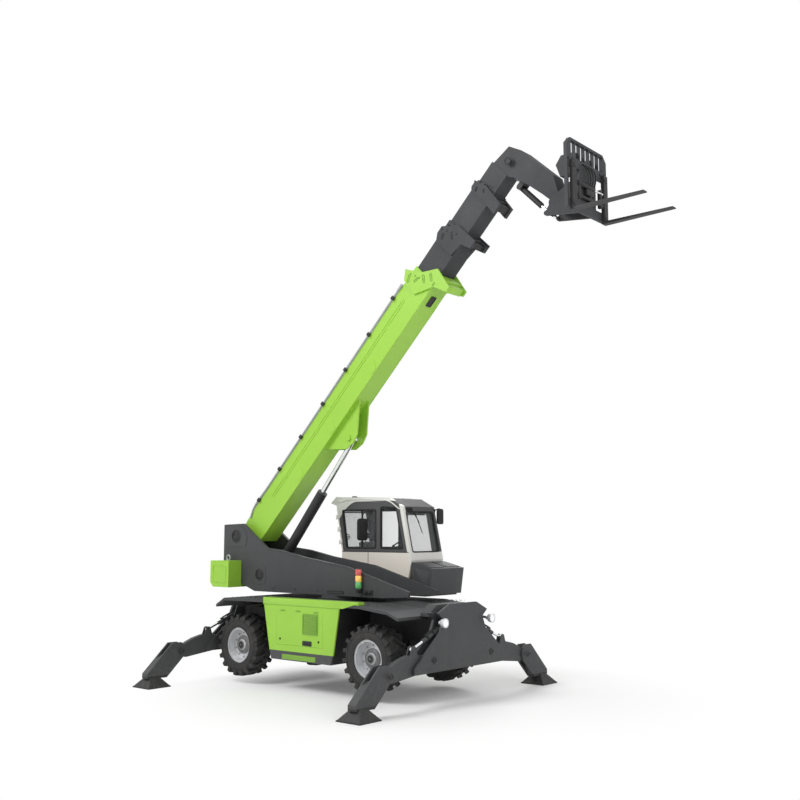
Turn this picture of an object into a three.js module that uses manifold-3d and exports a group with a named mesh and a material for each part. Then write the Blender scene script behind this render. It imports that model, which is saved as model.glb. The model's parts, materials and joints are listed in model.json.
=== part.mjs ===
import * as THREE from 'three';
import { mergeVertices } from 'three/addons/utils/BufferGeometryUtils.js';
import Module from 'manifold-3d';

const wasm = await Module();
wasm.setup();

// A rotating telehandler standing on its four stabiliser pads, wheels just clear of the ground.
// Millimetres, +X forward, +Y left, +Z up, drawn about the slew axis and then centred on the ground.

// Clearances: seated faces, turning pins, sliding boom sections.
const SEAT = 0.3;
const TURN = 0.3;
const SLIDE = 6;
const ROUND = 24;
const WHEEL_ROUND = 32;

// A faceted bore whose flats clear a turning pin's corners.
const boreFor = (radius, sides = ROUND) => (radius + TURN) / Math.cos(Math.PI / sides);

const PAINT = {
  green: { color: 0xa8db52, roughness: 0.38, metalness: 0.0 },
  grey: { color: 0x525354, roughness: 0.5, metalness: 0.1 },
  black: { color: 0x232425, roughness: 0.6, metalness: 0.1 },
  cream: { color: 0xd9d6cc, roughness: 0.4, metalness: 0.0 },
  rim: { color: 0xd4d7d8, roughness: 0.35, metalness: 0.2 },
  tyre: { color: 0x1b1b1c, roughness: 0.92, metalness: 0.0 },
  chrome: { color: 0xd8dadc, roughness: 0.12, metalness: 1.0 },
  steel: { color: 0x6d6f70, roughness: 0.45, metalness: 0.8 },
  fabric: { color: 0x2a2b2d, roughness: 0.9, metalness: 0.0 },
};

const WHEEL = { base: 3290, height: 696, radius: 575, inner: 750, outer: 1190 };
const RIM = { radius: 325, hub: 60, face: 1150, disc: 1000, wall: 36, hubEnd: 1088, nose: 14 };
const TYRE = { shoulder: 22, wallRise: 70, bead: 22, tread: 46 };
const KING = { out: 710, radius: 70, pin: 25, half: 140, ear: 38 };
KING.web = [KING.out + KING.radius + 5, KING.out + KING.radius + 60];
const AXLE = { half: 90, deep: 95, block: 150 };

const AXLE_X = WHEEL.base / 2;
const FRAME = {
  half: 360, front: AXLE_X + 805, rear: AXLE_X + 745, top: 1520, endTop: 1350, bottom: 970, belly: 600,
  bellyHalf: AXLE_X - 645, slopeHalf: AXLE_X - 545, deckHalf: AXLE_X - 195,
};
const RING = { radius: 450, top: 1600, lip: 30 };
const DECK = {
  half: 1200,
  thick: 50,
  top: [[-AXLE_X - 635, 1430], [-AXLE_X - 405, 1560], [-AXLE_X + 145, 1570], [AXLE_X - 175, 1570],
    [AXLE_X + 465, 1500], [AXLE_X + 685, 1410]],
};
const HOUSING = {
  out: 1200, wall: 25,
  outline: [[-AXLE_X + 735, FRAME.top - SEAT], [AXLE_X - 635, FRAME.top - SEAT], [AXLE_X - 775, 690],
    [AXLE_X - 825, 530], [-AXLE_X + 955, 530], [-AXLE_X + 905, 700]],
};
const HATCH = { x: [-AXLE_X + 1085, AXLE_X - 1025], z: [800, 1400], play: 3 };
const ENGINE = { x: [-450, 450], y: [-1000, -500], z: [640, 1220], foot: 60 };

// Stabiliser boxes: plates each side of the arms, given as distances along X from the slew axis.
const BOX_FRONT = {
  name: 'front_stabiliser_box', sign: 1, frameEnd: FRAME.front, hood: 1480,
  inner: [FRAME.front + 90, FRAME.front + 140], arm: [FRAME.front + 185, FRAME.front + 275],
  outer: [FRAME.front + 295, FRAME.front + 340],
  plate: [[380, 1620], [690, 1480], [550, 1370], [640, 1170], [1310, 640], [1310, 545]],
};
const BOX_REAR = {
  name: 'rear_stabiliser_box', sign: -1, frameEnd: FRAME.rear, hood: 1300,
  inner: [FRAME.rear + 5, FRAME.rear + 25], arm: [FRAME.rear + 35, FRAME.rear + 125],
  outer: [FRAME.rear + 135, FRAME.rear + 180],
  plate: [[300, 1400], [560, 1370], [640, 1170], [1310, 640], [1310, 545]],
};
const BOX_HALF = 300;
const BOX_BOTTOM = 560;
const ARM = {
  pivot: [800, 740], knee: [1920, 600], pin: 40, boss: 90,
  outline: [[760, 660], [1060, 550], [1780, 470], [1940, 515], [1990, 640], [1860, 705], [1600, 810],
    [1380, 860], [1120, 830], [790, 825]],
};
const LEG = {
  foot: [2500, 140], cheek: 32, play: 3, boss: 105, coreStart: 290,
  outline: [[1850, 700], [1915, 760], [2120, 760], [2660, 250], [2660, 165], [2230, 150], [1850, 500]],
};
const PAD = { half: 245, foot: 330, thick: 22, stem: 60, neck: 120, rise: 190 };
const JACK = {
  top: [400, 1262], eye: [1250, 940], barrel: 36, rod: 22, eyeRadius: 42, pin: 30, tail: 305,
  barrelLength: 620,
  lug: { half: 60, thick: 16, foot: 110, drop: 130 },
};

// Turret plates each side of the boom, in X and Z.
const WEIGHT_FRONT = -2470;
const PLATE = {
  y: [360, 420],
  outline: [[-3020, 2240 + SEAT], [-3020, 2960], [-2430, 2980], [-1720, 2500], [-1310, 2460], [-670, 2340],
    [430, 2190], [1930, 1780], [1900, 1690], [1250, 1650], [-2060, 1650], [WEIGHT_FRONT, 1790],
    [WEIGHT_FRONT, 2240 + SEAT]],
};
const TABLE = { x: [-2060, 1250], z: [1650, 1760] };
const CROSS = { x: [-2900, -2785], z: [2250, 2900] };
const WEIGHT = { x: [-3030, WEIGHT_FRONT], half: 750, z: [1720, 2240], bevel: 90 };
const LOCKER = { x: [-2200, -860], y: [PLATE.y[1], 1250], z: [1720, 2200], bevel: 120 };

// Boom sections in boom axes: distance along the boom from its pivot, and height above that line.
const BOOM = { pivot: [-2640, 2730], angle: 45.5, pin: 60 };
const TUBE = [{ name: 'boom_base', from: 280, to: 6700, half: 230, up: [-430, 140], wall: 20 }];
const INNER_TUBES = [
  { name: 'boom_2', from: 1000, to: 7740, wall: 16 },
  { name: 'boom_3', from: 1500, to: 8600, wall: 13 },
  { name: 'boom_4', from: 2000, to: 8990, wall: 11 },
];
INNER_TUBES.forEach((tube) => {
  const outer = TUBE.at(-1);
  const inset = outer.wall + SLIDE;
  TUBE.push({ ...tube, half: outer.half - inset, up: [outer.up[0] + inset, outer.up[1] - inset] });
});
const WEAR_PAD = 200;
const COLLAR_BITE = 4;
const COLLAR = [
  { out: 34, outline: [[6300, -200], [6350, 170], [6520, 290], [6700, -70], [6960, -330], [6870, -770],
    [6760, -770], [6670, -480]] },
  { out: 26, outline: [[7290, -380], [7290, 80], [7420, 164], [7560, 164], [7780, -140], [7780, -640],
    [7620, -640], [7560, -420]] },
  { out: 22, outline: [[8370, -340], [8370, 60], [8440, 120], [8560, 120], [8630, -80], [8540, -620],
    [8340, -620]] },
];
const LIFT = {
  base: [-1920, 1980], eye: [3325, -750], barrel: 100, rod: 50, eyeRadius: 60, baseEye: 120,
  pin: 50, barrelLength: 2070, rodLength: 2300, lugInner: 115, lugThick: 30,
  lug: [[2760, -429], [3130, -840], [3330, -890], [3520, -850], [4030, -429]],
};
const HEAD = {
  half: 155, pivot: [9150, -1530], boss: 110, pin: 45,
  outline: [[8970, 40], [9370, -40], [9450, -310], [9470, -1150], [9250, -1530], [9050, -1530],
    [9125, -1400], [9115, -1200], [9080, -850], [9020, -500], [8970, -400]],
};
const TILT = {
  base: [8950, -660], lever: 220, barrel: 50, rod: 24, baseEye: 50, rodEye: 42, pin: 24,
  barrelLength: 560, rodTail: 300, lugInner: 60, lugThick: 30,
};
const CARRIAGE = {
  back: 5310, front: 5370, half: 635, bottom: 7900, bars: 8760, top: 9065, bar: 22, count: 8, corner: 110,
  rail: 45, ear: [172, 222], earTop: 8560, earBottom: 7905, boss: 100,
  window: { y: [262, 590], z: [8050, 8600] },
  hook: { y: [172, 300], outline: [[5310, 8545], [5310, 8900], [5060, 8900], [4960, 8760], [5040, 8545]] },
};
const FORK = { y: 500, half: 60, tip: 6620, shank: 60, blade: 45, under: 7855, top: 8680, taper: 18 };

// Cab shell, in X and Z, from the right-hand wall to the left-hand wall.
const CAB = {
  y: [PLATE.y[1] + 30, 1400], wall: 55, floor: 1680, doorWall: 55,
  outline: [[-490, 1680], [1175, 1680], [1180, 1940], [1270, 2300], [1050, 3290], [810, 3410], [730, 3450],
    [-670, 3500], [-810, 3380], [-660, 3330], [-500, 2440]],
  inside: [[-430, 1740], [1115, 1740], [1120, 1950], [1205, 2300], [990, 3260], [780, 3350], [-600, 3395],
    [-440, 2440]],
  rearWindow: [[-380, 2500], [390, 2500], [390, 3240], [-500, 3240]],
  frontWindow: [[500, 2500], [1070, 2500], [900, 3270], [500, 3290]],
  windscreen: { y: [520, 1330], z: [2440, 3200], x: [900, 1400] },
  backWindow: { y: [540, 1310], z: [2500, 3220], x: [-800, -380] },
  roofWindow: { x: [-300, 620], y: [600, 1250], z: [3300, 3600] },
  leftRear: [[-380, 2500], [190, 2500], [190, 3240], [-500, 3240]],
  door: [[300, 1800], [1090, 1800], [1150, 2300], [950, 3230], [300, 3270]],
  doorGlass: [[370, 2300], [1070, 2300], [900, 3170], [370, 3200]],
  play: 3,
};
const CAB_STEP = { x: [-420, 1640], y: [PLATE.y[1] - 20, 1330], z: [1652, CAB.floor - SEAT] };
const NOSE = { y: CAB.y, outline: [[1280, 1680], [1690, 1680], [1760, 2150], [1280, 2260]] };
const SEAT_AT = {
  x: [-260, 300], y: [660, 1190], base: [CAB.inside[0][1] + SEAT, 2060], top: 2190, back: 2840, lean: 130,
};
const DASH = { x: [760, 900], y: [700, 1150], z: [CAB.inside[0][1] + SEAT, 2380], column: 34 };
const STEER = {
  centre: [600, 925, 2560], radius: 190, grip: 14, hub: 34, tilt: 32, stem: 120, column: 288,
  spokes: 3, sides: 8,
};

const group = new THREE.Group();
const HALF_TURN = Math.PI / 2;

// Solid modelling on three.js geometry.
const toSolid = (geometry) => {
  geometry.deleteAttribute('normal');
  geometry.deleteAttribute('uv');
  const merged = mergeVertices(geometry);
  const vertProperties = Float32Array.from(merged.attributes.position.array);
  const triVerts = Uint32Array.from(merged.index.array);
  return new wasm.Manifold(new wasm.Mesh({ numProp: 3, vertProperties, triVerts }));
};
const joined = (...solids) => solids.reduce((sum, next) => sum.add(next));
const without = (solid, ...cuts) => cuts.reduce((rest, cut) => rest.subtract(cut), solid);

const box = ([x0, x1], [y0, y1], [z0, z1]) => {
  const geometry = new THREE.BoxGeometry(x1 - x0, y1 - y0, z1 - z0);
  geometry.translate((x0 + x1) / 2, (y0 + y1) / 2, (z0 + z1) / 2);
  return toSolid(geometry);
};
const extruded = (points, depth) => {
  const shape = new THREE.Shape(points.map(([a, b]) => new THREE.Vector2(a, b)));
  return new THREE.ExtrudeGeometry(shape, { depth, bevelEnabled: false });
};
// An X-Z outline pulled from y0 to y1.
const sideways = (points, [y0, y1]) => {
  const geometry = extruded(points, y1 - y0);
  geometry.rotateX(HALF_TURN);
  geometry.translate(0, y1, 0);
  return toSolid(geometry);
};
// A Y-Z outline pulled from x0 to x1.
const lengthways = (points, [x0, x1]) => {
  const geometry = extruded(points, x1 - x0);
  const axes = new THREE.Matrix4().makeBasis(
    new THREE.Vector3(0, 1, 0), new THREE.Vector3(0, 0, 1), new THREE.Vector3(1, 0, 0));
  geometry.applyMatrix4(axes);
  geometry.translate(x0, 0, 0);
  return toSolid(geometry);
};
const bar = (from, to, radius, sides = ROUND) => {
  const start = new THREE.Vector3(...from);
  const run = new THREE.Vector3(...to).sub(start);
  const geometry = new THREE.CylinderGeometry(radius, radius, run.length(), sides);
  geometry.translate(0, run.length() / 2, 0);
  const turn = new THREE.Quaternion().setFromUnitVectors(new THREE.Vector3(0, 1, 0), run.clone().normalize());
  geometry.applyQuaternion(turn);
  geometry.translate(start.x, start.y, start.z);
  return toSolid(geometry);
};
const acrossBar = ([x, z], y0, y1, radius, sides = ROUND) => bar([x, y0, z], [x, y1, z], radius, sides);
// A post standing at (x, y).
const alongZ = (x, y, radius, z0, z1) => bar([x, y, Math.min(z0, z1)], [x, y, Math.max(z0, z1)], radius);
// A square frustum on the ground plane, its corners at the two radii given.
const pyramid = ([x, y], foot, neck, z0, z1) => {
  const geometry = new THREE.CylinderGeometry(neck, foot, z1 - z0, 4);
  geometry.rotateY(HALF_TURN / 2);
  geometry.rotateX(HALF_TURN);
  geometry.translate(x, y, (z0 + z1) / 2);
  return toSolid(geometry);
};
const sorted = (a, b) => [Math.min(a, b), Math.max(a, b)];
const alongBar = ([y, z], x0, x1, radius, sides = ROUND) => bar([x0, y, z], [x1, y, z], radius, sides);
// A closed profile of [radius, y] turned about a wheel's own axis.
const wheelRing = (profile) => {
  const points = profile.map(([r, y]) => new THREE.Vector2(r, y));
  if (THREE.ShapeUtils.isClockWise(points)) points.reverse();
  const closed = [...points, points[0]];
  return toSolid(new THREE.LatheGeometry(closed, WHEEL_ROUND));
};
const mirrored = (points, side) => points.map(([y, z]) => [y * side, z]);
const span = (a, b, sign) => (sign > 0 ? [a, b] : [-b, -a]);

// Places a solid drawn in its own axes, such as the boom's, and gives it its node.
const place = (name, solid, paint, matrix = new THREE.Matrix4()) => {
  const { vertProperties, triVerts } = solid.getMesh();
  const geometry = new THREE.BufferGeometry();
  geometry.setAttribute('position', new THREE.BufferAttribute(Float32Array.from(vertProperties), 3));
  geometry.setIndex(new THREE.BufferAttribute(Uint32Array.from(triVerts), 1));
  geometry.computeVertexNormals();
  const mesh = new THREE.Mesh(geometry, new THREE.MeshStandardMaterial(PAINT[paint]));
  mesh.name = name;
  mesh.applyMatrix4(matrix);
  group.add(mesh);
};
const inclined = ([x, z], degrees) => {
  const turn = new THREE.Matrix4().makeRotationY(THREE.MathUtils.degToRad(-degrees));
  return new THREE.Matrix4().makeTranslation(x, 0, z).multiply(turn);
};
const boomAxes = inclined(BOOM.pivot, BOOM.angle);
const inWorld = ([along, up]) => {
  const point = new THREE.Vector3(along, 0, up).applyMatrix4(boomAxes);
  return [point.x, point.z];
};

const buildChassis = () => {
  const { half, front, rear, top, endTop, bottom, belly, bellyHalf, slopeHalf, deckHalf } = FRAME;
  const outline = [
    [-rear, bottom], [-slopeHalf, bottom], [-bellyHalf, belly], [bellyHalf, belly], [slopeHalf, bottom],
    [front, bottom], [front, endTop], [deckHalf, endTop], [deckHalf, top - SEAT], [-deckHalf, top - SEAT],
    [-deckHalf, endTop], [-rear, endTop],
  ];
  const pedestal = alongZ(0, 0, RING.radius + RING.lip, top, RING.top);
  const neck = alongZ(0, 0, half - 1, endTop, RING.top);
  place('chassis_frame', joined(sideways(outline, [-half, half]), neck, pedestal), 'black');

  const under = [...DECK.top].reverse().map(([x, z]) => [x, z - DECK.thick]);
  const sheet = sideways([...DECK.top, ...under], [-DECK.half, DECK.half]);
  const well = alongZ(0, 0, RING.radius + RING.lip + SEAT, endTop, RING.top + DECK.thick);
  place('deck', without(sheet, well), 'grey');
};

// The right-hand housing is a shell open towards the frame, with a hatch in its outer wall.
const buildHousing = () => {
  const { out, wall, outline } = HOUSING;
  const inboard = FRAME.half + SEAT;
  const centre = outline.reduce(([x, z], [a, b]) => [x + a / outline.length, z + b / outline.length], [0, 0]);
  const drawnIn = (value, middle) => value - Math.sign(value - middle) * wall;
  const inside = outline.map(([x, z]) => [drawnIn(x, centre[0]), drawnIn(z, centre[1])]);
  const room = sideways(inside, [-out + wall, -inboard + wall]);
  const opening = box(HATCH.x, [-out - wall, -out + 2 * wall], HATCH.z);
  place('engine_housing', without(sideways(outline, [-out, -inboard]), room, opening), 'green');

  const panelX = [HATCH.x[0] + HATCH.play, HATCH.x[1] - HATCH.play];
  const panelZ = [HATCH.z[0] + HATCH.play, HATCH.z[1] - 2 * SEAT];
  place('engine_door', box(panelX, [-out, -out + wall - SEAT], panelZ), 'green');

  const floor = outline[3][1] + wall + SEAT;
  const feet = ENGINE.x.map((x) => {
    const inner = x - Math.sign(x) * ENGINE.foot;
    return box([Math.min(x, inner), Math.max(x, inner)], ENGINE.y, [floor, ENGINE.z[0]]);
  });
  place('engine', joined(box(ENGINE.x, ENGINE.y, ENGINE.z), ...feet), 'steel');
  place('tank_left', sideways(outline, [inboard, out]), 'green');
};

const buildWheel = (end, side) => {
  const corner = `${end > 0 ? 'f' : 'r'}${side > 0 ? 'l' : 'r'}`;
  const x = end * WHEEL.base / 2;
  const out = (distance) => side * distance;
  const at = (y) => [x, out(y)];
  const z = WHEEL.height;
  const [webIn, webOut] = KING.web;
  const earFrom = KING.half + SEAT;
  const earTo = KING.half + KING.ear;
  const ears = [1, -1].map((up) => joined(
    alongZ(...at(KING.out), KING.radius, z + up * earFrom, z + up * earTo),
    box([x - KING.radius, x + KING.radius], span(KING.out, webOut, side),
      sorted(z + up * earFrom, z + up * earTo)),
  ));
  const web = box([x - KING.radius, x + KING.radius], span(webIn, webOut, side), [z - earTo, z + earTo]);
  const pin = alongZ(...at(KING.out), KING.pin, z - earTo, z + earTo);
  const spindle = bar([x, out(webOut - SEAT), z], [x, out(RIM.hubEnd + RIM.nose), z], RIM.hub);
  place(`knuckle_${corner}`, joined(web, ...ears, pin, spindle), 'black');

  const { radius, hub, face, disc, wall, hubEnd } = RIM;
  const rimIn = WHEEL.inner + wall;
  const bore = boreFor(hub, WHEEL_ROUND);
  const hubRadius = 2 * hub;
  const seat = radius - SEAT;
  const rim = wheelRing([
    [bore, disc - wall], [seat - wall, disc - wall], [seat - wall, rimIn], [seat, rimIn], [seat, face],
    [seat - wall, face], [seat - wall, disc], [hubRadius, disc + wall], [hubRadius - wall, hubEnd],
    [bore, hubEnd],
  ].map(([r, y]) => [r, out(y)]));
  place(`rim_${corner}`, rim, 'rim', new THREE.Matrix4().makeTranslation(x, 0, z));

  const { inner, outer } = WHEEL;
  const shoulder = WHEEL.radius - TYRE.shoulder;
  const tyre = wheelRing([
    [radius, inner + TYRE.bead], [shoulder - TYRE.wallRise, inner], [shoulder, inner + TYRE.bead],
    [WHEEL.radius, inner + TYRE.tread], [WHEEL.radius, outer - TYRE.tread], [shoulder, outer - TYRE.bead],
    [shoulder - TYRE.wallRise, outer], [radius, outer - TYRE.bead],
  ].map(([r, y]) => [r, out(y)]));
  place(`tyre_${corner}`, tyre, 'tyre', new THREE.Matrix4().makeTranslation(x, 0, z));
};

const buildAxle = (end) => {
  const x = end * WHEEL.base / 2;
  const z = WHEEL.height;
  const reach = KING.out - KING.radius / 2;
  const beam = box([x - AXLE.half, x + AXLE.half], [-reach, reach], [z - AXLE.deep, z + AXLE.deep]);
  const block = box([x - AXLE.half, x + AXLE.half], [-AXLE.block, AXLE.block], [z, FRAME.bottom - SEAT]);
  const bosses = [1, -1].map((side) => alongZ(x, side * KING.out, KING.radius, z - KING.half, z + KING.half));
  const bores = [1, -1].map((side) => alongZ(x, side * KING.out, boreFor(KING.pin),
    z - KING.half, z + KING.half, 1));
  place(end > 0 ? 'front_axle' : 'rear_axle', without(joined(beam, block, ...bosses), ...bores), 'black');
};

const buildStabiliserBox = ({ name, sign, frameEnd, inner, outer, hood, plate }) => {
  const outline = [...plate, ...mirrored([...plate].reverse(), -1)];
  const plates = [inner, outer].map(([near, far]) => {
    const low = near === inner[0] && sign > 0 ? outline.map(([y, z]) => [y, Math.min(z, hood)]) : outline;
    return lengthways(low, span(near, far, sign));
  });
  const core = box(span(frameEnd + SEAT, outer[1], sign), [-BOX_HALF, BOX_HALF],
    [BOX_BOTTOM, Math.min(hood, plate[0][1])]);
  const holes = [1, -1].flatMap((side) => [
    [ARM.pivot, ARM.pin],
    [JACK.top, JACK.pin],
  ].map(([[y, z], radius]) => {
    const [from, to] = span(inner[0] - JACK.pin, outer[1] + JACK.pin, sign);
    return alongBar([side * y, z], from, to, boreFor(radius));
  }));
  place(name, without(joined(core, ...plates), ...holes), 'grey');
};

const buildStabiliser = ({ sign, inner, outer, arm }, side) => {
  const corner = `${sign > 0 ? 'f' : 'r'}${side > 0 ? 'l' : 'r'}`;
  const [x0, x1] = span(...arm, sign);
  const pinEnds = span(inner[0] + JACK.lug.thick, outer[1] - 1, sign);
  const at = ([y, z]) => [side * y, z];
  const point = (x, [y, z]) => [x, side * y, z];
  const middle = (x0 + x1) / 2;

  const beam = lengthways(mirrored(ARM.outline, side), [x0, x1]);
  const bossEnds = [ARM.pivot, ARM.knee].map((centre) => alongBar(at(centre), x0, x1, ARM.boss));
  const rootPin = alongBar(at(ARM.pivot), ...pinEnds, ARM.pin);
  const kneePin = alongBar(at(ARM.knee), x0 - LEG.cheek - LEG.play, x1 + LEG.cheek + LEG.play, ARM.pin);
  const [eyeY, eyeZ] = JACK.eye;
  const lugs = [[x0, x0 + JACK.lug.thick], [x1 - JACK.lug.thick, x1]].map((ends) => joined(
    alongBar(at(JACK.eye), ...ends, JACK.lug.half),
    lengthways(mirrored([
      [eyeY - JACK.lug.foot, eyeZ - JACK.lug.drop], [eyeY + JACK.lug.foot, eyeZ - JACK.lug.drop],
      [eyeY + JACK.lug.half, eyeZ], [eyeY - JACK.lug.half, eyeZ]], side), ends),
  ));
  place(`stabiliser_arm_${corner}`, joined(beam, ...bossEnds, rootPin, kneePin, ...lugs), 'grey');

  const [kneeY, kneeZ] = ARM.knee;
  const [footY, footZ] = LEG.foot;
  const length = Math.hypot(footY - kneeY, footZ - kneeZ);
  const axis = [(footY - kneeY) / length, (footZ - kneeZ) / length];
  const along = (t, n) => [kneeY + axis[0] * t - axis[1] * n, kneeZ + axis[1] * t + axis[0] * n];
  const cheekEnds = [[x0 - LEG.play - LEG.cheek, x0 - LEG.play], [x1 + LEG.play, x1 + LEG.play + LEG.cheek]];
  const cheeks = cheekEnds.map((ends) => joined(
    lengthways(mirrored(LEG.outline, side), ends),
    alongBar(at(ARM.knee), ...ends, LEG.boss),
  ));
  const kneeHole = alongBar(at(ARM.knee), cheekEnds[0][0] - LEG.play, cheekEnds[1][1] + LEG.play,
    boreFor(ARM.pin));
  const zone = lengthways(mirrored([along(LEG.coreStart, -ARM.boss), along(2 * length, -2 * length / 3),
    along(2 * length, 2 * length / 3), along(LEG.coreStart, 2 * ARM.boss)], side),
  [x0 - LEG.play, x1 + LEG.play]);
  const core = lengthways(mirrored(LEG.outline, side), [x0 - LEG.play, x1 + LEG.play]).intersect(zone);
  const plate = box([middle - PAD.half, middle + PAD.half],
    sorted(side * (footY - PAD.half), side * (footY + PAD.half)),
    [0, PAD.thick]);
  const pad = joined(plate, pyramid([middle, side * footY], PAD.foot, PAD.neck, PAD.thick, PAD.rise));
  const stem = bar(point(middle, [footY, PAD.thick / 2]), point(middle, [footY, footZ + PAD.stem]), PAD.stem);
  place(`stabiliser_leg_${corner}`, joined(without(joined(core, ...cheeks), kneeHole), pad, stem), 'grey');

  const run = Math.hypot(JACK.eye[0] - JACK.top[0], JACK.eye[1] - JACK.top[1]);
  const unit = [(JACK.eye[0] - JACK.top[0]) / run, (JACK.eye[1] - JACK.top[1]) / run];
  const onJack = (distance) => [JACK.top[0] + unit[0] * distance, JACK.top[1] + unit[1] * distance];
  const jackBar = (from, to, radius) => bar(point(middle, onJack(from)), point(middle, onJack(to)), radius);
  const tube = without(jackBar(0, JACK.barrelLength, JACK.barrel),
    jackBar(2 * JACK.barrel, 2 * JACK.barrelLength, boreFor(JACK.rod)));
  const eyeHalf = JACK.barrel / 2 + JACK.lug.thick;
  const head = alongBar(at(JACK.top), middle - eyeHalf, middle + eyeHalf, JACK.barrel + JACK.lug.thick / 4);
  const headPin = alongBar(at(JACK.top), ...pinEnds, JACK.pin);
  place(`stabiliser_barrel_${corner}`, joined(tube, head, headPin), 'grey');

  const eyeEnds = [x0 + JACK.lug.thick + SEAT, x1 - JACK.lug.thick - SEAT];
  const rod = joined(jackBar(JACK.tail, run, JACK.rod), alongBar(at(JACK.eye), ...eyeEnds, JACK.eyeRadius));
  place(`stabiliser_rod_${corner}`, rod, 'chrome');
};

const buildTurret = () => {
  const plates = [1, -1].map((side) => sideways(PLATE.outline, span(...PLATE.y, side)));
  const web = [-PLATE.y[0] - SEAT, PLATE.y[0] + SEAT];
  const table = box(TABLE.x, web, TABLE.z);
  const cross = box(CROSS.x, web, CROSS.z);
  const ring = alongZ(0, 0, RING.radius, RING.top + SEAT, TABLE.z[0] + SEAT);
  const step = box(CAB_STEP.x, CAB_STEP.y, CAB_STEP.z);
  const reach = PLATE.y[1] + SEAT;
  const holes = [[BOOM.pivot, BOOM.pin], [LIFT.base, LIFT.pin]]
    .map(([centre, radius]) => acrossBar(centre, -reach, reach, boreFor(radius)));
  place('turret_frame', without(joined(...plates, table, cross, ring, step), ...holes), 'grey');

  const { x: [back, front], half, z: [low, high], bevel } = WEIGHT;
  const slab = sideways([[back + bevel, low], [front - SEAT, low], [front - SEAT, high], [back, high],
    [back, low + bevel]], [-half, half]);
  place('counterweight', slab, 'green');

  const [x0, x1] = LOCKER.x;
  const [z0, z1] = LOCKER.z;
  const locker = sideways([[x0, z0], [x1, z0], [x1, z1 - LOCKER.bevel], [x1 - LOCKER.bevel, z1], [x0, z1]],
    [LOCKER.y[0] + SEAT, LOCKER.y[1]]);
  place('turret_locker', locker, 'green');
};

const ringTube = ({ from, to, half, up: [low, high], wall }) => without(
  box([from, to], [-half, half], [low, high]),
  box([from - wall, to + wall], [-half + wall, half - wall], [low + wall, high - wall]),
);

// An inner section carries wear pads round its tail that run along the section outside it.
const slidingTube = (tube) => {
  const pad = SLIDE - TURN;
  const [low, high] = tube.up;
  const tail = { ...tube, to: tube.from + WEAR_PAD, half: tube.half + pad, up: [low - pad, high + pad] };
  return joined(ringTube(tube), ringTube({ ...tail, wall: tube.wall + pad }));
};

const buildBoom = () => {
  const [base, second, third, fourth] = TUBE;
  const collarOn = ({ half, up: [low, high], to }, { out, outline }) => {
    const outside = sideways(outline, [-half - out, half + out]);
    const overlap = half - COLLAR_BITE;
    const mouth = box([base.from, to + 2 * half], [-overlap, overlap],
      [low + COLLAR_BITE, high - COLLAR_BITE]);
    const gap = box([to, to + 2 * half], [-half, half], [2 * low, high - COLLAR_BITE]);
    const slot = box([base.from, to + 2 * half], [-half + 2 * out, half - 2 * out], [3 * low, low]);
    return without(outside, mouth, gap, slot);
  };
  const reach = PLATE.y[1] - 1;
  const heel = sideways([[-LIFT.baseEye, 0], [0, -LIFT.baseEye], [base.from, base.up[0]],
    [base.from + base.half, base.up[0]], [base.from + base.half, base.up[1]], [0, LIFT.baseEye]],
  [-base.half, base.half]);
  const heelRoom = box([base.from, base.from + 2 * base.half],
    [-base.half + base.wall, base.half - base.wall],
    [base.up[0] + base.wall, base.up[1] - base.wall]);
  const pivotPin = acrossBar([0, 0], -reach, reach, BOOM.pin);
  const heelBoss = acrossBar([0, 0], -base.half, base.half, LIFT.baseEye);
  const lugs = [1, -1].map((side) => {
    const [y0, y1] = span(LIFT.lugInner, LIFT.lugInner + LIFT.lugThick, side);
    return joined(sideways(LIFT.lug, [y0, y1]),
      acrossBar(LIFT.eye, y0 - LIFT.lugThick * (side < 0), y1 + LIFT.lugThick * (side > 0), LIFT.pin));
  });
  const root = without(joined(ringTube(base), heel, heelBoss), heelRoom);
  place(base.name, joined(root, collarOn(base, COLLAR[0]), pivotPin, ...lugs), 'green', boomAxes);
  place(second.name, joined(slidingTube(second), collarOn(second, COLLAR[1])), 'grey', boomAxes);
  place(third.name, joined(slidingTube(third), collarOn(third, COLLAR[2])), 'grey', boomAxes);

  const neck = sideways(HEAD.outline, [-HEAD.half, HEAD.half]);
  const boss = acrossBar(HEAD.pivot, -HEAD.half, HEAD.half, HEAD.boss);
  const pin = acrossBar(HEAD.pivot, -CARRIAGE.ear[1], CARRIAGE.ear[1], HEAD.pin);
  const [baseAlong, baseUp] = TILT.base;
  const brackets = [1, -1].map((side) => {
    const ends = span(TILT.lugInner, TILT.lugInner + TILT.lugThick, side);
    return joined(acrossBar(TILT.base, ...ends, TILT.baseEye),
      sideways([
        [baseAlong, baseUp - TILT.baseEye], [HEAD.outline[8][0] + TILT.baseEye, baseUp - TILT.baseEye],
        [HEAD.outline[9][0] + TILT.baseEye, baseUp + TILT.baseEye], [baseAlong, baseUp + TILT.baseEye],
      ], ends));
  });
  const bracketReach = TILT.lugInner + 2 * TILT.lugThick;
  const bracketHole = acrossBar(TILT.base, -bracketReach, bracketReach, boreFor(TILT.pin));
  const head = without(joined(slidingTube(fourth), neck, boss, pin, ...brackets), bracketHole);
  place(fourth.name, head, 'grey', boomAxes);
};

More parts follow.
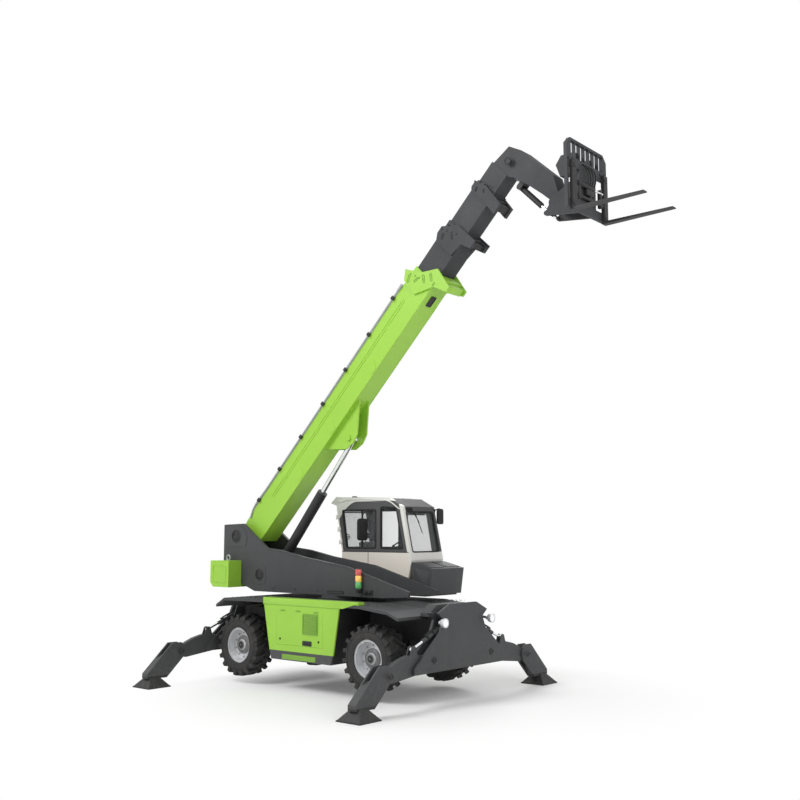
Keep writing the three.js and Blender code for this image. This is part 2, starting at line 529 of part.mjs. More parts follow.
// A hydraulic cylinder in its own axes, from its base pin at the origin to its rod eye.
const buildRam = (from, to, names, size) => {
  const run = Math.hypot(to[0] - from[0], to[1] - from[1]);
  const angle = THREE.MathUtils.radToDeg(Math.atan2(to[1] - from[1], to[0] - from[0]));
  const axes = inclined(from, angle);
  const shell = bar([0, 0, 0], [size.barrelLength, 0, 0], size.barrel);
  const bore = bar([2 * size.barrel, 0, 0], [size.barrelLength + size.barrel, 0, 0], boreFor(size.rod));
  const eye = acrossBar([0, 0], -size.baseHalf, size.baseHalf, size.baseEye);
  const pin = acrossBar([0, 0], -size.pinHalf, size.pinHalf, size.pin);
  place(names[0], joined(without(shell, bore), eye, pin), 'grey', axes);
  const rod = bar([size.rodFrom, 0, 0], [run, 0, 0], size.rod);
  const rodEye = acrossBar([run, 0], -size.eyeHalf, size.eyeHalf, size.rodEye);
  place(names[1], joined(rod, rodEye), 'chrome', axes);
};

const buildLift = () => {
  const eye = inWorld(LIFT.eye);
  const run = Math.hypot(eye[0] - LIFT.base[0], eye[1] - LIFT.base[1]);
  buildRam(LIFT.base, eye, ['lift_barrel', 'lift_rod'], {
    ...LIFT, baseHalf: LIFT.barrel, pinHalf: PLATE.y[1] - 1, rodFrom: run - LIFT.rodLength,
    eyeHalf: LIFT.lugInner - SEAT, rodEye: LIFT.eyeRadius,
  });
};

const buildTilt = () => {
  const lever = [HEAD.pivot[0] - TILT.lever, HEAD.pivot[1]];
  buildRam(inWorld(TILT.base), inWorld(lever), ['tilt_barrel', 'tilt_rod'], {
    ...TILT, baseHalf: TILT.lugInner - SEAT, pinHalf: TILT.lugInner + TILT.lugThick, rodFrom: TILT.rodTail,
    eyeHalf: TILT.lugInner - TILT.lugThick / 2,
  });
};

const buildCarriage = () => {
  const { back, front, half, bottom, bars, top, count, corner, rail } = CARRIAGE;
  const { ear, earTop, earBottom, boss } = CARRIAGE;
  const pivot = inWorld(HEAD.pivot);
  const lever = inWorld([HEAD.pivot[0] - TILT.lever, HEAD.pivot[1]]);
  const outline = [[-half, bottom], [half, bottom], [half, top - corner], [half - corner, top],
    [-half + corner, top], [-half, top - corner]];
  const panel = lengthways(outline, [back, front]);
  const pitch = 2 * (half - rail) / count;
  const slots = Array.from({ length: count - 1 }, (_, i) => {
    const centre = -half + rail + pitch * (i + 1);
    const slotHalf = pitch / 2 - CARRIAGE.bar / 2;
    return box([back - rail, front + rail], [centre - slotHalf, centre + slotHalf], [bars, top - rail]);
  });
  const ears = [1, -1].map((side) => {
    const ends = span(...ear, side);
    const arm = sideways([[lever[0], lever[1] - TILT.rodEye], [back + rail, earBottom], [back + rail, earTop],
      [pivot[0], pivot[1] + boss], [lever[0], lever[1] + TILT.rodEye]], ends);
    return joined(arm, acrossBar(pivot, ...ends, boss), acrossBar(lever, ...ends, TILT.rodEye));
  });
  const { window, hook } = CARRIAGE;
  const windows = [1, -1].map((side) => box([back - rail, front + rail], span(...window.y, side), window.z));
  const hooks = [1, -1].map((side) => sideways(hook.outline, span(...hook.y, side)));
  const reach = ear[1] + rail;
  const bore = acrossBar(pivot, -reach, reach, boreFor(HEAD.pin));
  const stubStart = TILT.lugInner - TILT.lugThick / 4;
  const stubs = [1, -1].map((side) => acrossBar(lever, ...span(stubStart, ear[1], side), TILT.pin));
  const frame = joined(without(panel, ...slots, ...windows), ...ears, ...hooks);
  place('carriage', joined(without(frame, bore), ...stubs), 'grey');

  [['fork_left', 1], ['fork_right', -1]].forEach(([name, side]) => {
    const heel = front + SEAT;
    const face = FORK.under + FORK.blade;
    const blade = sideways([
      [heel, FORK.under], [heel + FORK.shank, FORK.under], [FORK.tip, face - FORK.taper],
      [FORK.tip, face], [heel + FORK.shank, face], [heel + FORK.shank, FORK.top], [heel, FORK.top]],
    [side * FORK.y - FORK.half, side * FORK.y + FORK.half]);
    place(name, blade, 'black');
  });
};

const buildCab = () => {
  const [right, left] = CAB.y;
  const through = [right - CAB.wall, right + 2 * CAB.wall];
  const throughLeft = [left - 2 * CAB.wall, left + CAB.wall];
  const shell = without(sideways(CAB.outline, CAB.y),
    sideways(CAB.inside, [right + CAB.wall, left - CAB.doorWall]),
    sideways(CAB.rearWindow, through),
    sideways(CAB.frontWindow, through),
    sideways(CAB.leftRear, throughLeft),
    sideways(CAB.door, throughLeft),
    ...[CAB.windscreen, CAB.backWindow, CAB.roofWindow].map(({ x, y, z }) => box(x, y, z)));
  place('cab_shell', shell, 'cream');

  const [hingeX] = CAB.door[0];
  const middle = [CAB.door.reduce((sum, [x]) => sum + x, 0), CAB.door.reduce((sum, [, z]) => sum + z, 0)]
    .map((total) => total / CAB.door.length);
  const leaf = CAB.door.map(([x, z]) => [
    x === hingeX ? x + SEAT : x - CAB.play,
    z - Math.sign(z - middle[1]) * 2 * CAB.play,
  ]);
  const doorLeaf = sideways(leaf, [left - CAB.doorWall, left]);
  place('cab_door', without(doorLeaf, sideways(CAB.doorGlass, throughLeft)), 'cream');

  place('cab_front_box', sideways(NOSE.outline, NOSE.y), 'grey');

  const { x: [seatBack, seatFront], y, base, top, back, lean } = SEAT_AT;
  const seatSide = [
    [seatBack, base[0]], [seatFront - lean, base[0]], [seatFront, base[1]], [seatFront, top],
    [seatBack + lean, top], [seatBack, back], [seatBack - lean / 2, back], [seatBack - lean / 4, base[1]],
  ];
  place('seat', sideways(seatSide, y), 'fabric');

  const rake = THREE.MathUtils.degToRad(STEER.tilt);
  const [ahead, below] = [Math.sin(rake), Math.cos(rake)];
  const [centreX, centreY, centreZ] = STEER.centre;
  const down = (distance) => [centreX + ahead * distance, centreY, centreZ - below * distance];
  const pod = box(DASH.x, DASH.y, DASH.z);
  const column = bar(down(STEER.stem + SEAT), down(STEER.column), DASH.column);
  place('console', joined(pod, column), 'black');

  const ring = new THREE.TorusGeometry(STEER.radius, STEER.grip, 10, WHEEL_ROUND);
  ring.rotateY(-rake);
  ring.translate(...STEER.centre);
  const hub = bar(down(-STEER.grip), down(STEER.stem), STEER.hub);
  const spokes = Array.from({ length: STEER.spokes }, (_, i) => {
    const turn = (i * 2 * Math.PI) / STEER.spokes;
    const [a, b] = [Math.cos(turn) * STEER.radius, Math.sin(turn) * STEER.radius];
    const end = [centreX + a * below, centreY + b, centreZ + a * ahead];
    return bar(STEER.centre, end, STEER.grip / 2, STEER.sides);
  });
  place('steering_wheel', joined(toSolid(ring), hub, ...spokes), 'black');
};

buildChassis();
buildHousing();
[1, -1].forEach((end) => {
  buildAxle(end);
  [1, -1].forEach((side) => buildWheel(end, side));
});
[BOX_FRONT, BOX_REAR].forEach((station) => {
  buildStabiliserBox(station);
  [1, -1].forEach((side) => buildStabiliser(station, side));
});
buildTurret();
buildBoom();
buildLift();
buildTilt();
buildCarriage();
buildCab();

// The origin lies on the ground, midway along the whole machine.
group.position.x = -(FORK.tip + WEIGHT.x[0]) / 2;

export default group;
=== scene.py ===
import json
import math

import bmesh
import bpy
from mathutils import Matrix, Vector


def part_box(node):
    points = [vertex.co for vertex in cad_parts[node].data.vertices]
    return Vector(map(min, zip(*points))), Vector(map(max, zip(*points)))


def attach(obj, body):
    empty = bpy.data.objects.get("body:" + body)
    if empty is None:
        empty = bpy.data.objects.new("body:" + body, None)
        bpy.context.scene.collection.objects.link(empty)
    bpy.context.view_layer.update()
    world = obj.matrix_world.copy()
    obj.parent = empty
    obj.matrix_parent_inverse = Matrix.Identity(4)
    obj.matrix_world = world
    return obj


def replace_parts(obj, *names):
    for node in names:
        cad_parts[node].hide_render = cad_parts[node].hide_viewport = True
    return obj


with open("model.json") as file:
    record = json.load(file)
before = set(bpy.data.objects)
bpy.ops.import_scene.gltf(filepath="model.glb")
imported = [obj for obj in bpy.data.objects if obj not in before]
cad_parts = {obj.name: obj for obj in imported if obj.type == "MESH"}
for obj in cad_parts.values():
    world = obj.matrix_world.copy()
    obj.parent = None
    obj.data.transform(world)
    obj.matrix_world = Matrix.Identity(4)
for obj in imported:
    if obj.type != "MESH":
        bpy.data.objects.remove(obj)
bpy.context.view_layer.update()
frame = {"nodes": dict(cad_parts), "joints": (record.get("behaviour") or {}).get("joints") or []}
nodes = frame["nodes"]
joints = {joint["name"]: joint for joint in frame["joints"]}
print("frame loaded:", len(nodes), "nodes")

# the two frames that the pieces are drawn in: the slew axis, and the boom's own length, width and height
slewFrame = Matrix.Translation((joints["slew"]["pos_m"][0], 0, 0))
alongBoom = Vector(joints["tele_2"]["axis"])
acrossBoom = Vector((0, 1, 0))
boomFrame = Matrix((alongBoom, acrossBoom, alongBoom.cross(acrossBoom))).transposed().to_4x4()
boomFrame.translation = joints["boom_lift"]["pos_m"]
corners = {"fl": (1, 1), "fr": (1, -1), "rl": (-1, 1), "rr": (-1, -1)}  # front or rear, left or right


# ---- shader expressions

class Value:
    # a socket that can be added, multiplied and compared as a number is
    def __init__(self, look, socket):
        self.look = look
        self.socket = socket

    def maths(self, operation, first, second):
        return self.look.node("ShaderNodeMath", {"operation": operation}, {0: first, 1: second})

    def __add__(self, other):
        return self.maths("ADD", self, other)

    def __sub__(self, other):
        return self.maths("SUBTRACT", self, other)

    def __rsub__(self, other):
        return self.maths("SUBTRACT", other, self)

    def __mul__(self, other):
        return self.maths("MULTIPLY", self, other)

    def __gt__(self, other):
        return self.maths("GREATER_THAN", self, other)

    def __lt__(self, other):
        return self.maths("LESS_THAN", self, other)

    def least(self, other):
        return self.maths("MINIMUM", self, other)

    def most(self, other):
        return self.maths("MAXIMUM", self, other)

    def size(self):
        return self.maths("ABSOLUTE", self, 0)

    __radd__ = __add__
    __rmul__ = __mul__


socketNames = {
    "colour": "Base Color", "rough": "Roughness", "metal": "Metallic", "coat": "Coat Weight",
    "coatRough": "Coat Roughness", "alpha": "Alpha", "normal": "Normal", "sheen": "Sheen Weight",
    "glow": "Emission Color", "glowPower": "Emission Strength",
}


class Look:
    # one material, or the world: its own shader, and whatever feeds it
    def __init__(self, name, world=None, **constants):
        self.material = world or bpy.data.materials.new(name)
        self.material.use_nodes = True
        self.tree = self.material.node_tree
        self.shader = self.tree.nodes.get("Principled BSDF")
        self.feed(**constants)

    def feed(self, **inputs):
        for name, value in inputs.items():
            self.join(self.shader.inputs[socketNames[name]], value)

    def join(self, socket, value):
        if isinstance(value, Value):
            self.tree.links.new(value.socket, socket)
        elif isinstance(value, tuple) and len(value) == 3 and len(socket.default_value) == 4:
            socket.default_value = (*value, 1)
        else:
            socket.default_value = value

    def node(self, kind, settings=None, inputs=None, output=0):
        made = self.tree.nodes.new(kind)
        for name, value in (settings or {}).items():
            if name == "stops":
                ramp = made.color_ramp.elements
                while len(ramp) < len(value):
                    ramp.new(0.5)
                for element, (position, shade) in zip(ramp, value):
                    element.position = position
                    element.color = (shade, shade, shade, 1)
            else:
                setattr(made, name, value)
        for name, value in (inputs or {}).items():
            self.join(made.inputs[name], value)
        return Value(self, made.outputs[output])

    def place(self):
        return self.node("ShaderNodeTexCoord", output="Object")

    def axes(self):
        where = self.place()
        return [self.node("ShaderNodeSeparateXYZ", None, {0: where}, axis) for axis in "XYZ"]

    def noise(self, scale, detail=3, stretch=(1, 1, 1)):
        where = self.node("ShaderNodeMapping", None, {"Vector": self.place(), "Scale": stretch})
        return self.node("ShaderNodeTexNoise", None, {"Vector": where, "Scale": scale, "Detail": detail})

    def bands(self, direction, scale):
        inputs = {"Vector": self.place(), "Scale": scale}
        return self.node("ShaderNodeTexWave", {"bands_direction": direction}, inputs)

    def vector(self, operation, first, second, output=0):
        return self.node("ShaderNodeVectorMath", {"operation": operation}, {0: first, 1: second}, output)

    def ramp(self, value, *stops):
        return self.node("ShaderNodeValToRGB", {"stops": stops}, {0: value})

    def mix(self, factor, first, second):
        return self.node("ShaderNodeMix", {"data_type": "RGBA"}, {"Factor": factor, 6: first, 7: second}, 2)

    def bump(self, height, distance, strength=0.4):
        sockets = {"Height": height, "Distance": distance, "Strength": strength}
        return self.node("ShaderNodeBump", None, sockets)

    def looked(self):
        # one for a ray from the camera, a mirror or a pane, nought for one that gathers light
        camera, glossy, clear = (self.node("ShaderNodeLightPath", output=f"Is {ray} Ray")
                                 for ray in ("Camera", "Glossy", "Transmission"))
        return camera.most(glossy).most(clear)


def srgb(red, green, blue):
    # a colour as a paint chart gives it, 0 to 255, made linear
    return tuple(((c / 255 + 0.055) / 1.055) ** 2.4 if c > 10 else c / 3295 for c in (red, green, blue))


def shade(colour, factor):
    return tuple(min(1, c * factor) for c in colour)


paints = {
    "lime": srgb(155, 207, 63), "limeDeep": srgb(122, 170, 50), "slate": srgb(62, 63, 65),
    "tube": srgb(52, 53, 56),
    "soot": srgb(34, 34, 36), "beige": srgb(230, 223, 213), "offWhite": srgb(228, 227, 222),
    "frit": srgb(74, 74, 75), "silver": srgb(214, 215, 218), "dust": srgb(150, 142, 128),
    "zinc": srgb(170, 172, 174), "rubber": srgb(40, 39, 39), "trim": srgb(38, 39, 41),
}


def weather(look, colour, rough=0.4, dust=0.12, peel=0.001, gloss=0.22):
    # sprayed steel: cloudy gloss, a little grime low down, fine orange peel
    cloud = look.ramp(look.noise(1.6, 5), (0.3, 0), (0.75, 1))
    streak = look.ramp(look.noise(9, 4, (1, 1, 0.15)), (0.52, 0), (0.8, 1))
    height = look.axes()[2]
    low = (1.1 - height).most(0).least(1)
    grime = look.ramp(look.noise(14, 6), (0.45, 0), (0.8, 1)) * (low * 0.8 + 0.2) * dust
    deep = look.node("ShaderNodeVectorMath", {"operation": "SCALE"}, {0: colour, "Scale": 1 - 0.06 * cloud})
    soiled = look.mix((grime + streak * (dust * 0.25)).least(1), deep, paints["dust"])
    fine = look.noise(260, 2)
    look.feed(colour=soiled, rough=rough + 0.08 * cloud + 0.5 * grime, coat=gloss - 0.6 * gloss * cloud)
    look.feed(coatRough=0.25, normal=look.bump(fine, peel))
    return look.material


def paint(name, colour, **grade):
    return weather(Look(name), colour, **grade)


def housingPaint():
    # the outer faces are lime down to a line and slate below it, and the rest is soot, as painted shade
    look = Look("housingPaint")
    across, up = look.axes()[1:]
    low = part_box("engine_housing")[0]
    skirt = look.mix(up > low.z + 0.16, paints["slate"], paints["lime"])
    # soot on every face but the outer sides is painted shade
    return weather(look, look.mix(across.size() > -low.y - 0.03, paints["soot"], skirt))


def legPaint():
    # the stabiliser feet are darker than the legs above them
    look = Look("legPaint")
    shade = look.mix(look.axes()[2] > 0.2, paints["soot"], paints["slate"])
    return weather(look, shade, rough=0.6, gloss=0.05)


def cabPaint():
    # beige lower panels, off-white roof and pillars, a dark band printed round the glass, black trim inside
    look = Look("cabPaint")
    low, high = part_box("cab_shell")
    middle = (low + high) / 2
    x, y, z = look.axes()
    sill = low.z + 0.76
    behind = high.x - 0.222 * (z - (low.z + 0.62)) - x  # how far back from the raked front pillar
    inFrom = x - (low.x + 0.31) + 0.18 * (z - sill)  # how far in from the rear edge
    dip = (low.x + 0.72 - x).most(0)
    side = (behind > 0.075) * (z < high.z - 0.1 - dip * dip * 1.4) * (inFrom > 0.035)
    ahead = (y > low.y + 0.07) * (behind < 0.28) * (z < high.z - 0.05)
    astern = (inFrom < 0.035) * (y > low.y + 0.05) * (y < high.y - 0.05) * (z < high.z - 0.2)
    band = (z > sill) * side.most(ahead).most(astern * (x > low.x + 0.1))
    outer = look.mix((z > high.z - 0.34).most(behind < 0.075), paints["beige"], paints["offWhite"])
    printed = look.mix(band, outer, paints["frit"])
    facing = look.node("ShaderNodeNewGeometry", output="True Normal")
    inward = look.vector("SUBTRACT", tuple(middle), look.place())
    inside = look.vector("DOT_PRODUCT", facing, inward, 1) > 0.02
    finish = {"rough": 0.4 + 0.25 * band, "gloss": 0.22 - 0.2 * band}
    return weather(look, look.mix(inside, printed, paints["trim"]), dust=0.06, **finish)


def tyreRubber():
    look = Look("tyreRubber")
    grit = look.noise(60, 6)
    cake = look.ramp(look.noise(7, 6), (0.5, 0), (0.85, 1)) * 0.2
    look.feed(colour=look.mix(cake, paints["rubber"], shade(paints["dust"], 0.45)), rough=0.72 + 0.16 * cake)
    look.feed(normal=look.bump(grit, 0.004, 0.5), coat=0.0)
    return look.material


def rimPaint():
    look = Look("rimPaint")
    brake = look.ramp(look.noise(11, 5), (0.4, 0), (0.8, 1)) * 0.3
    look.feed(colour=look.mix(brake, paints["silver"], shade(paints["dust"], 0.8)), rough=0.3 + 0.25 * brake)
    look.feed(metal=0.35 - 0.3 * brake, normal=look.bump(look.noise(180, 2), 0.001))
    return look.material


def chromeRod():
    look = Look("chromeRod")
    oil = look.ramp(look.noise(16, 4), (0.4, 0), (0.75, 1))
    look.feed(colour=look.mix(oil * 0.35, (0.84, 0.85, 0.87), (0.55, 0.54, 0.5)), metal=1.0)
    look.feed(rough=0.1 + 0.12 * oil, normal=look.bump(look.noise(300, 1), 0.0004, 0.2))
    return look.material


def ironCast(name, colour, rough=0.62):
    look = Look(name)
    grain = look.noise(90, 5)
    stain = look.ramp(look.noise(5, 5), (0.35, 0), (0.8, 1))
    look.feed(colour=look.mix(stain * 0.35, colour, shade(paints["dust"], 0.5)), metal=0.25)
    look.feed(rough=rough + 0.15 * stain, normal=look.bump(grain, 0.003, 0.5))
    return look.material


def mouldedTrim(name, colour, rough=0.55):
    look = Look(name)
    grain = look.node("ShaderNodeTexVoronoi", None, {"Vector": look.place(), "Scale": 420.0})
    cloud = look.noise(4, 3)
    look.feed(colour=look.mix(cloud * 0.3, colour, shade(colour, 1.5)), rough=rough + 0.1 * cloud)
    look.feed(normal=look.bump(grain, 0.0012, 0.35))
    return look.material


def seatCloth():
    # a woven cloth with darker bolsters
    look = Look("seatCloth")
    across = look.axes()[1]
    weave = look.bands("Y", 95.0) * look.bands("Z", 95.0)
    low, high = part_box("seat")
    bolster = (across - (low.y + high.y) / 2).size() > 0.17
    fleck = look.ramp(look.noise(150, 4), (0.45, 0), (0.65, 1))
    cloth = look.mix(fleck * 0.5 + weave * 0.3, srgb(48, 50, 54), srgb(84, 86, 90))
    look.feed(colour=look.mix(bolster, cloth, srgb(34, 35, 37)), rough=0.86 - 0.1 * bolster, sheen=0.25)
    look.feed(normal=look.bump(weave + fleck * 0.4, 0.0015, 0.6))
    return look.material


def clearGlass(name, tint, least=0.025):
    look = Look(name, colour=tint)
    rim = look.node("ShaderNodeFresnel", None, {"IOR": 1.5})
    wipe = look.ramp(look.noise(3, 4), (0.4, 0), (0.8, 1))
    look.feed(rough=0.03 + 0.05 * wipe, alpha=(least + 0.015 * wipe + rim * 0.3).least(1))
    return look.material


def lampLens(name, colour, power):
    look = Look(name, coat=0.6)
    ribs = look.bands("Y", 34.0)
    look.feed(colour=look.mix(ribs * 0.3, colour, shade(colour, 0.6)), rough=0.12 + 0.1 * ribs)
    look.feed(glow=look.mix(ribs * 0.4, colour, (1, 1, 1)), glowPower=power)
    look.feed(normal=look.bump(ribs, 0.002, 0.5))
    return look.material


looks = {
    "lime": paint("limePaint", paints["lime"]), "limeDeep": paint("limeDeep", paints["limeDeep"]),
    "slate": paint("slatePaint", paints["slate"], rough=0.6, gloss=0.05),
    "tube": paint("tubePaint", paints["tube"], rough=0.66, gloss=0.02),
    "soot": paint("sootPaint", paints["soot"], rough=0.6, gloss=0.05),
    "housing": housingPaint(), "leg": legPaint(), "cab": cabPaint(),
    "offWhite": paint("offWhite", paints["offWhite"], dust=0.05),
    "tyre": tyreRubber(), "rim": rimPaint(), "chrome": chromeRod(), "cloth": seatCloth(),
    "iron": ironCast("engineIron", paints["soot"]), "zinc": ironCast("zincPlate", paints["zinc"], 0.35),
    "hub": ironCast("hubIron", srgb(118, 118, 120), 0.45), "trim": mouldedTrim("trimPlastic", paints["trim"]),
    "hose": mouldedTrim("hoseRubber", srgb(26, 26, 27), 0.6),
    "seal": mouldedTrim("sealRubber", srgb(20, 20, 21), 0.7),
    "glass": clearGlass("cabGlass", (0.2, 0.22, 0.22)),
    "screen": clearGlass("screenGlass", (0.2, 0.21, 0.21), 0.05),
    "mirror": clearGlass("mirrorGlass", (0.86, 0.88, 0.9), 0.95),
    "head": lampLens("headLens", (0.93, 0.94, 0.95), 0.25),
    "red": lampLens("redLens", srgb(196, 40, 28), 0.25),
    "amber": lampLens("amberLens", srgb(244, 190, 40), 0.3),
    "green": lampLens("greenLens", srgb(40, 160, 60), 0.25),
}
slots = {
    "lime": "green_paint", "limeDeep": "green_paint", "housing": "green_paint", "slate": "grey_paint",
    "tube": "grey_paint", "leg": "grey_paint", "soot": "black_paint", "cab": "cab_paint", "offWhite": "cab_paint",
    "tyre": "tyre", "rim": "rim_paint", "hub": "rim_paint", "chrome": "chrome_rod", "iron": "engine_iron",
    "zinc": "engine_iron", "cloth": "seat_fabric", "trim": "trim_plastic", "hose": "trim_plastic",
    "seal": "trim_plastic",
}
print("materials made:", len(looks))

# the finish of every CAD node, by the start of its name
nodeFinish = {
    "chassis_frame": "soot", "deck": "slate", "front_stabiliser_box": "slate", "rear_stabiliser_box": "slate",
    "front_axle": "soot", "rear_axle": "soot", "engine_housing": "housing", "tank_left": "housing",
    "engine_door": "housing", "engine": "iron", "turret_frame": "slate", "counterweight": "lime",
    "turret_locker": "slate", "cab_shell": "cab", "cab_door": "cab", "cab_front_box": "slate", "seat": "cloth",
    "console": "trim", "steering_wheel": "trim", "boom_base": "lime", "boom_": "tube", "carriage": "tube",
    "fork_": "soot", "lift_barrel": "soot", "lift_rod": "chrome", "tilt_barrel": "soot", "tilt_rod": "chrome",
    "knuckle": "soot", "rim_": "rim", "tyre_": "tyre", "stabiliser_rod": "chrome", "stabiliser_leg": "leg",
    "stabiliser_": "slate",
}


def finishNodes():
    for name, node in nodes.items():
        key = max((start for start in nodeFinish if name.startswith(start)), key=len)
        node.data.materials.clear()
        node.data.materials.append(looks[nodeFinish[key]])


finishNodes()
print("CAD nodes finished")


# ---- modelling

def block(bm, low, high, place=Matrix()):
    low, high = Vector(low), Vector(high)
    middle = Matrix.Translation((low + high) / 2) @ Matrix.Diagonal((*(high - low), 1))
    return bmesh.ops.create_cube(bm, size=1, matrix=place @ middle)["verts"]


def rod(bm, start, end, radius, sides=20, tip=None, place=Matrix()):
    start, end = place @ Vector(start), place @ Vector(end)
    turn = (end - start).to_track_quat("Z", "Y").to_matrix().to_4x4()
    middle = Matrix.Translation((start + end) / 2) @ turn
    size = {"radius1": radius, "radius2": radius if tip is None else tip, "depth": (end - start).length}
    return bmesh.ops.create_cone(bm, cap_ends=True, segments=sides, matrix=middle, **size)["verts"]


def skin(face, thickness):
    # where a thin layer on a face starts and ends, whichever way it faces
    return sorted((face, face + thickness))


def nut(bm, centre, axis, across, height, place=Matrix()):
    # a hexagon head on its washer
    centre, axis = Vector(centre), Vector(axis).normalized()
    rod(bm, centre, centre + axis * height * 0.3, across * 0.72, 16, place=place)
    rod(bm, centre, centre + axis * height, across / 2, 6, tip=across * 0.46, place=place)


def plate(bm, outline, low, high, place=Matrix(), along="Y"):
    # an outline of (first, second) points carried from low to high along one axis
    column = "XYZ".index(along)
    points = [(*point[:column], low, *point[column:]) for point in outline]
    face = bm.faces.new([bm.verts.new(point) for point in points])
    moved = bmesh.ops.extrude_face_region(bm, geom=[face])["geom"]
    raised = [item for item in moved if isinstance(item, bmesh.types.BMVert)]
    lift = Vector((0, 0, 0))
    lift[column] = high - low
    bmesh.ops.translate(bm, verts=raised, vec=lift)
    verts = list(face.verts) + raised
    bmesh.ops.transform(bm, matrix=place, verts=verts)
    return verts


def turned(bm, profile, centre, axis=(0, 0, 1), steps=40, place=Matrix()):
    # a closed profile of (radius, height) points spun once round an axis
    turn = Vector(axis).to_track_quat("Z", "Y").to_matrix().to_4x4()
    spot = place @ Matrix.Translation(centre) @ turn
    points = [bm.verts.new(spot @ Vector((radius, 0, height))) for radius, height in profile]
    edges = [bm.edges.new(pair) for pair in zip(points, points[1:] + points[:1])]
    around = {"cent": spot.translation, "axis": spot.to_3x3() @ Vector((0, 0, 1))}
    bmesh.ops.spin(bm, geom=points + edges, angle=math.tau, steps=steps, use_merge=True, **around)


def run(bm, points, radius, place=Matrix(), resolution=3, rounding=6):
    # a pipe or hose through points, with smooth bends
    curve = bpy.data.curves.new("run", "CURVE")
    curve.dimensions = "3D"
    curve.bevel_depth = radius
    curve.bevel_resolution = resolution
    curve.use_fill_caps = True
    curve.resolution_u = rounding
    spline = curve.splines.new("BEZIER")
    spline.bezier_points.add(len(points) - 1)
    for knot, point in zip(spline.bezier_points, points):
        knot.co = place @ Vector(point)
        knot.handle_left_type = knot.handle_right_type = "AUTO"
    holder = bpy.data.objects.new("run", curve)
    mesh = bpy.data.meshes.new_from_object(holder)
    bm.from_mesh(mesh)
    bpy.data.objects.remove(holder)
    bpy.data.meshes.remove(mesh)


def rounded(outline, radius, steps=4):
    # an outline with each corner turned into a short arc
    points = [Vector(point) for point in outline]
    found = []
    for before, corner, after in zip(points[-1:] + points[:-1], points, points[1:] + points[:1]):
        reach = min(radius, (before - corner).length * 0.45, (after - corner).length * 0.45)
        start = corner + (before - corner).normalized() * reach
        end = corner + (after - corner).normalized() * reach
        for step in range(steps + 1):
            share = step / steps
            found.append(start.lerp(corner, share).lerp(corner.lerp(end, share), share))
    return [tuple(point) for point in found]


def panel(left, low, right, high, radius):
    # a rectangle with rounded corners
    return rounded([(left, low), (right, low), (right, high), (left, high)], radius)


def wire(radius, thickness, sides):
    # the profile of a ring bent from round bar
    turns = [math.tau * k / sides for k in range(sides)]
    return [(radius + thickness * math.cos(turn), thickness * math.sin(turn)) for turn in turns]


def shrunk(outline, by):
    # the same outline drawn in by a margin towards its middle
    middle = sum((Vector(point) for point in outline), Vector((0, 0))) / len(outline)
    return [tuple(Vector(p) - (Vector(p) - middle).normalized() * by) for p in outline]


def hoop(bm, outline, margin, low, high, place=Matrix(), along="Y"):
    # a flat band that follows an outline, such as a seal or a frame
    verts = plate(bm, outline, low, high, place, along)
    faces = {face for vert in verts for face in vert.link_faces}
    caps = [face for face in faces if len(face.verts) == len(outline)]
    bmesh.ops.inset_region(bm, faces=caps, thickness=margin, use_even_offset=True)
    edges = [edge for cap in caps for edge in cap.edges]
    bmesh.ops.delete(bm, geom=caps, context="FACES_ONLY")
    bmesh.ops.bridge_loops(bm, edges=edges)


def soften(bm, width, segments=2):
    # rounds every sharp edge a little
    sharp = [edge for edge in bm.edges if edge.is_manifold and edge.calc_face_angle(0) > math.radians(32)]
    shape = {"affect": "EDGES", "segments": segments, "profile": 0.5, "material": -1, "clamp_overlap": True}
    bmesh.ops.bevel(bm, geom=sharp, offset=width, offset_type="OFFSET", **shape)


def finished(name, bm, body, look, bevel=0.0, smooth=38, replaces=()):
    # closes the mesh, points its faces out, and gives it its finish and its body
    bmesh.ops.remove_doubles(bm, verts=bm.verts, dist=1e-5)
    if bevel:
        soften(bm, bevel)
    bmesh.ops.recalc_face_normals(bm, faces=bm.faces)
    mesh = bpy.data.meshes.new(name)
    bm.to_mesh(mesh)
    bm.free()
    mesh.shade_smooth()
    mesh.set_sharp_from_angle(angle=math.radians(smooth))
    mesh.materials.append(looks[look])
    piece = bpy.data.objects.new(name, mesh)
    bpy.context.scene.collection.objects.link(piece)
    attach(piece, body)
    look in slots
    if replaces:
        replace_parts(piece, *replaces)
    return piece


# ---- wheels

tyre = {
    "lugs": 19, "lugWidth": 0.05, "lugHeight": 0.047, "sweep": 0.62, "nuts": 10, "nutCircle": 0.225,
    "hub": [(0.0, 0.096), (0.07, 0.096), (0.082, 0.088), (0.088, 0.068),
            (0.15, 0.06), (0.168, 0.048), (0.175, 0.0), (0.0, 0.0)],
    "hubNuts": 8, "hubCircle": 0.124, "face": 1.0,
}


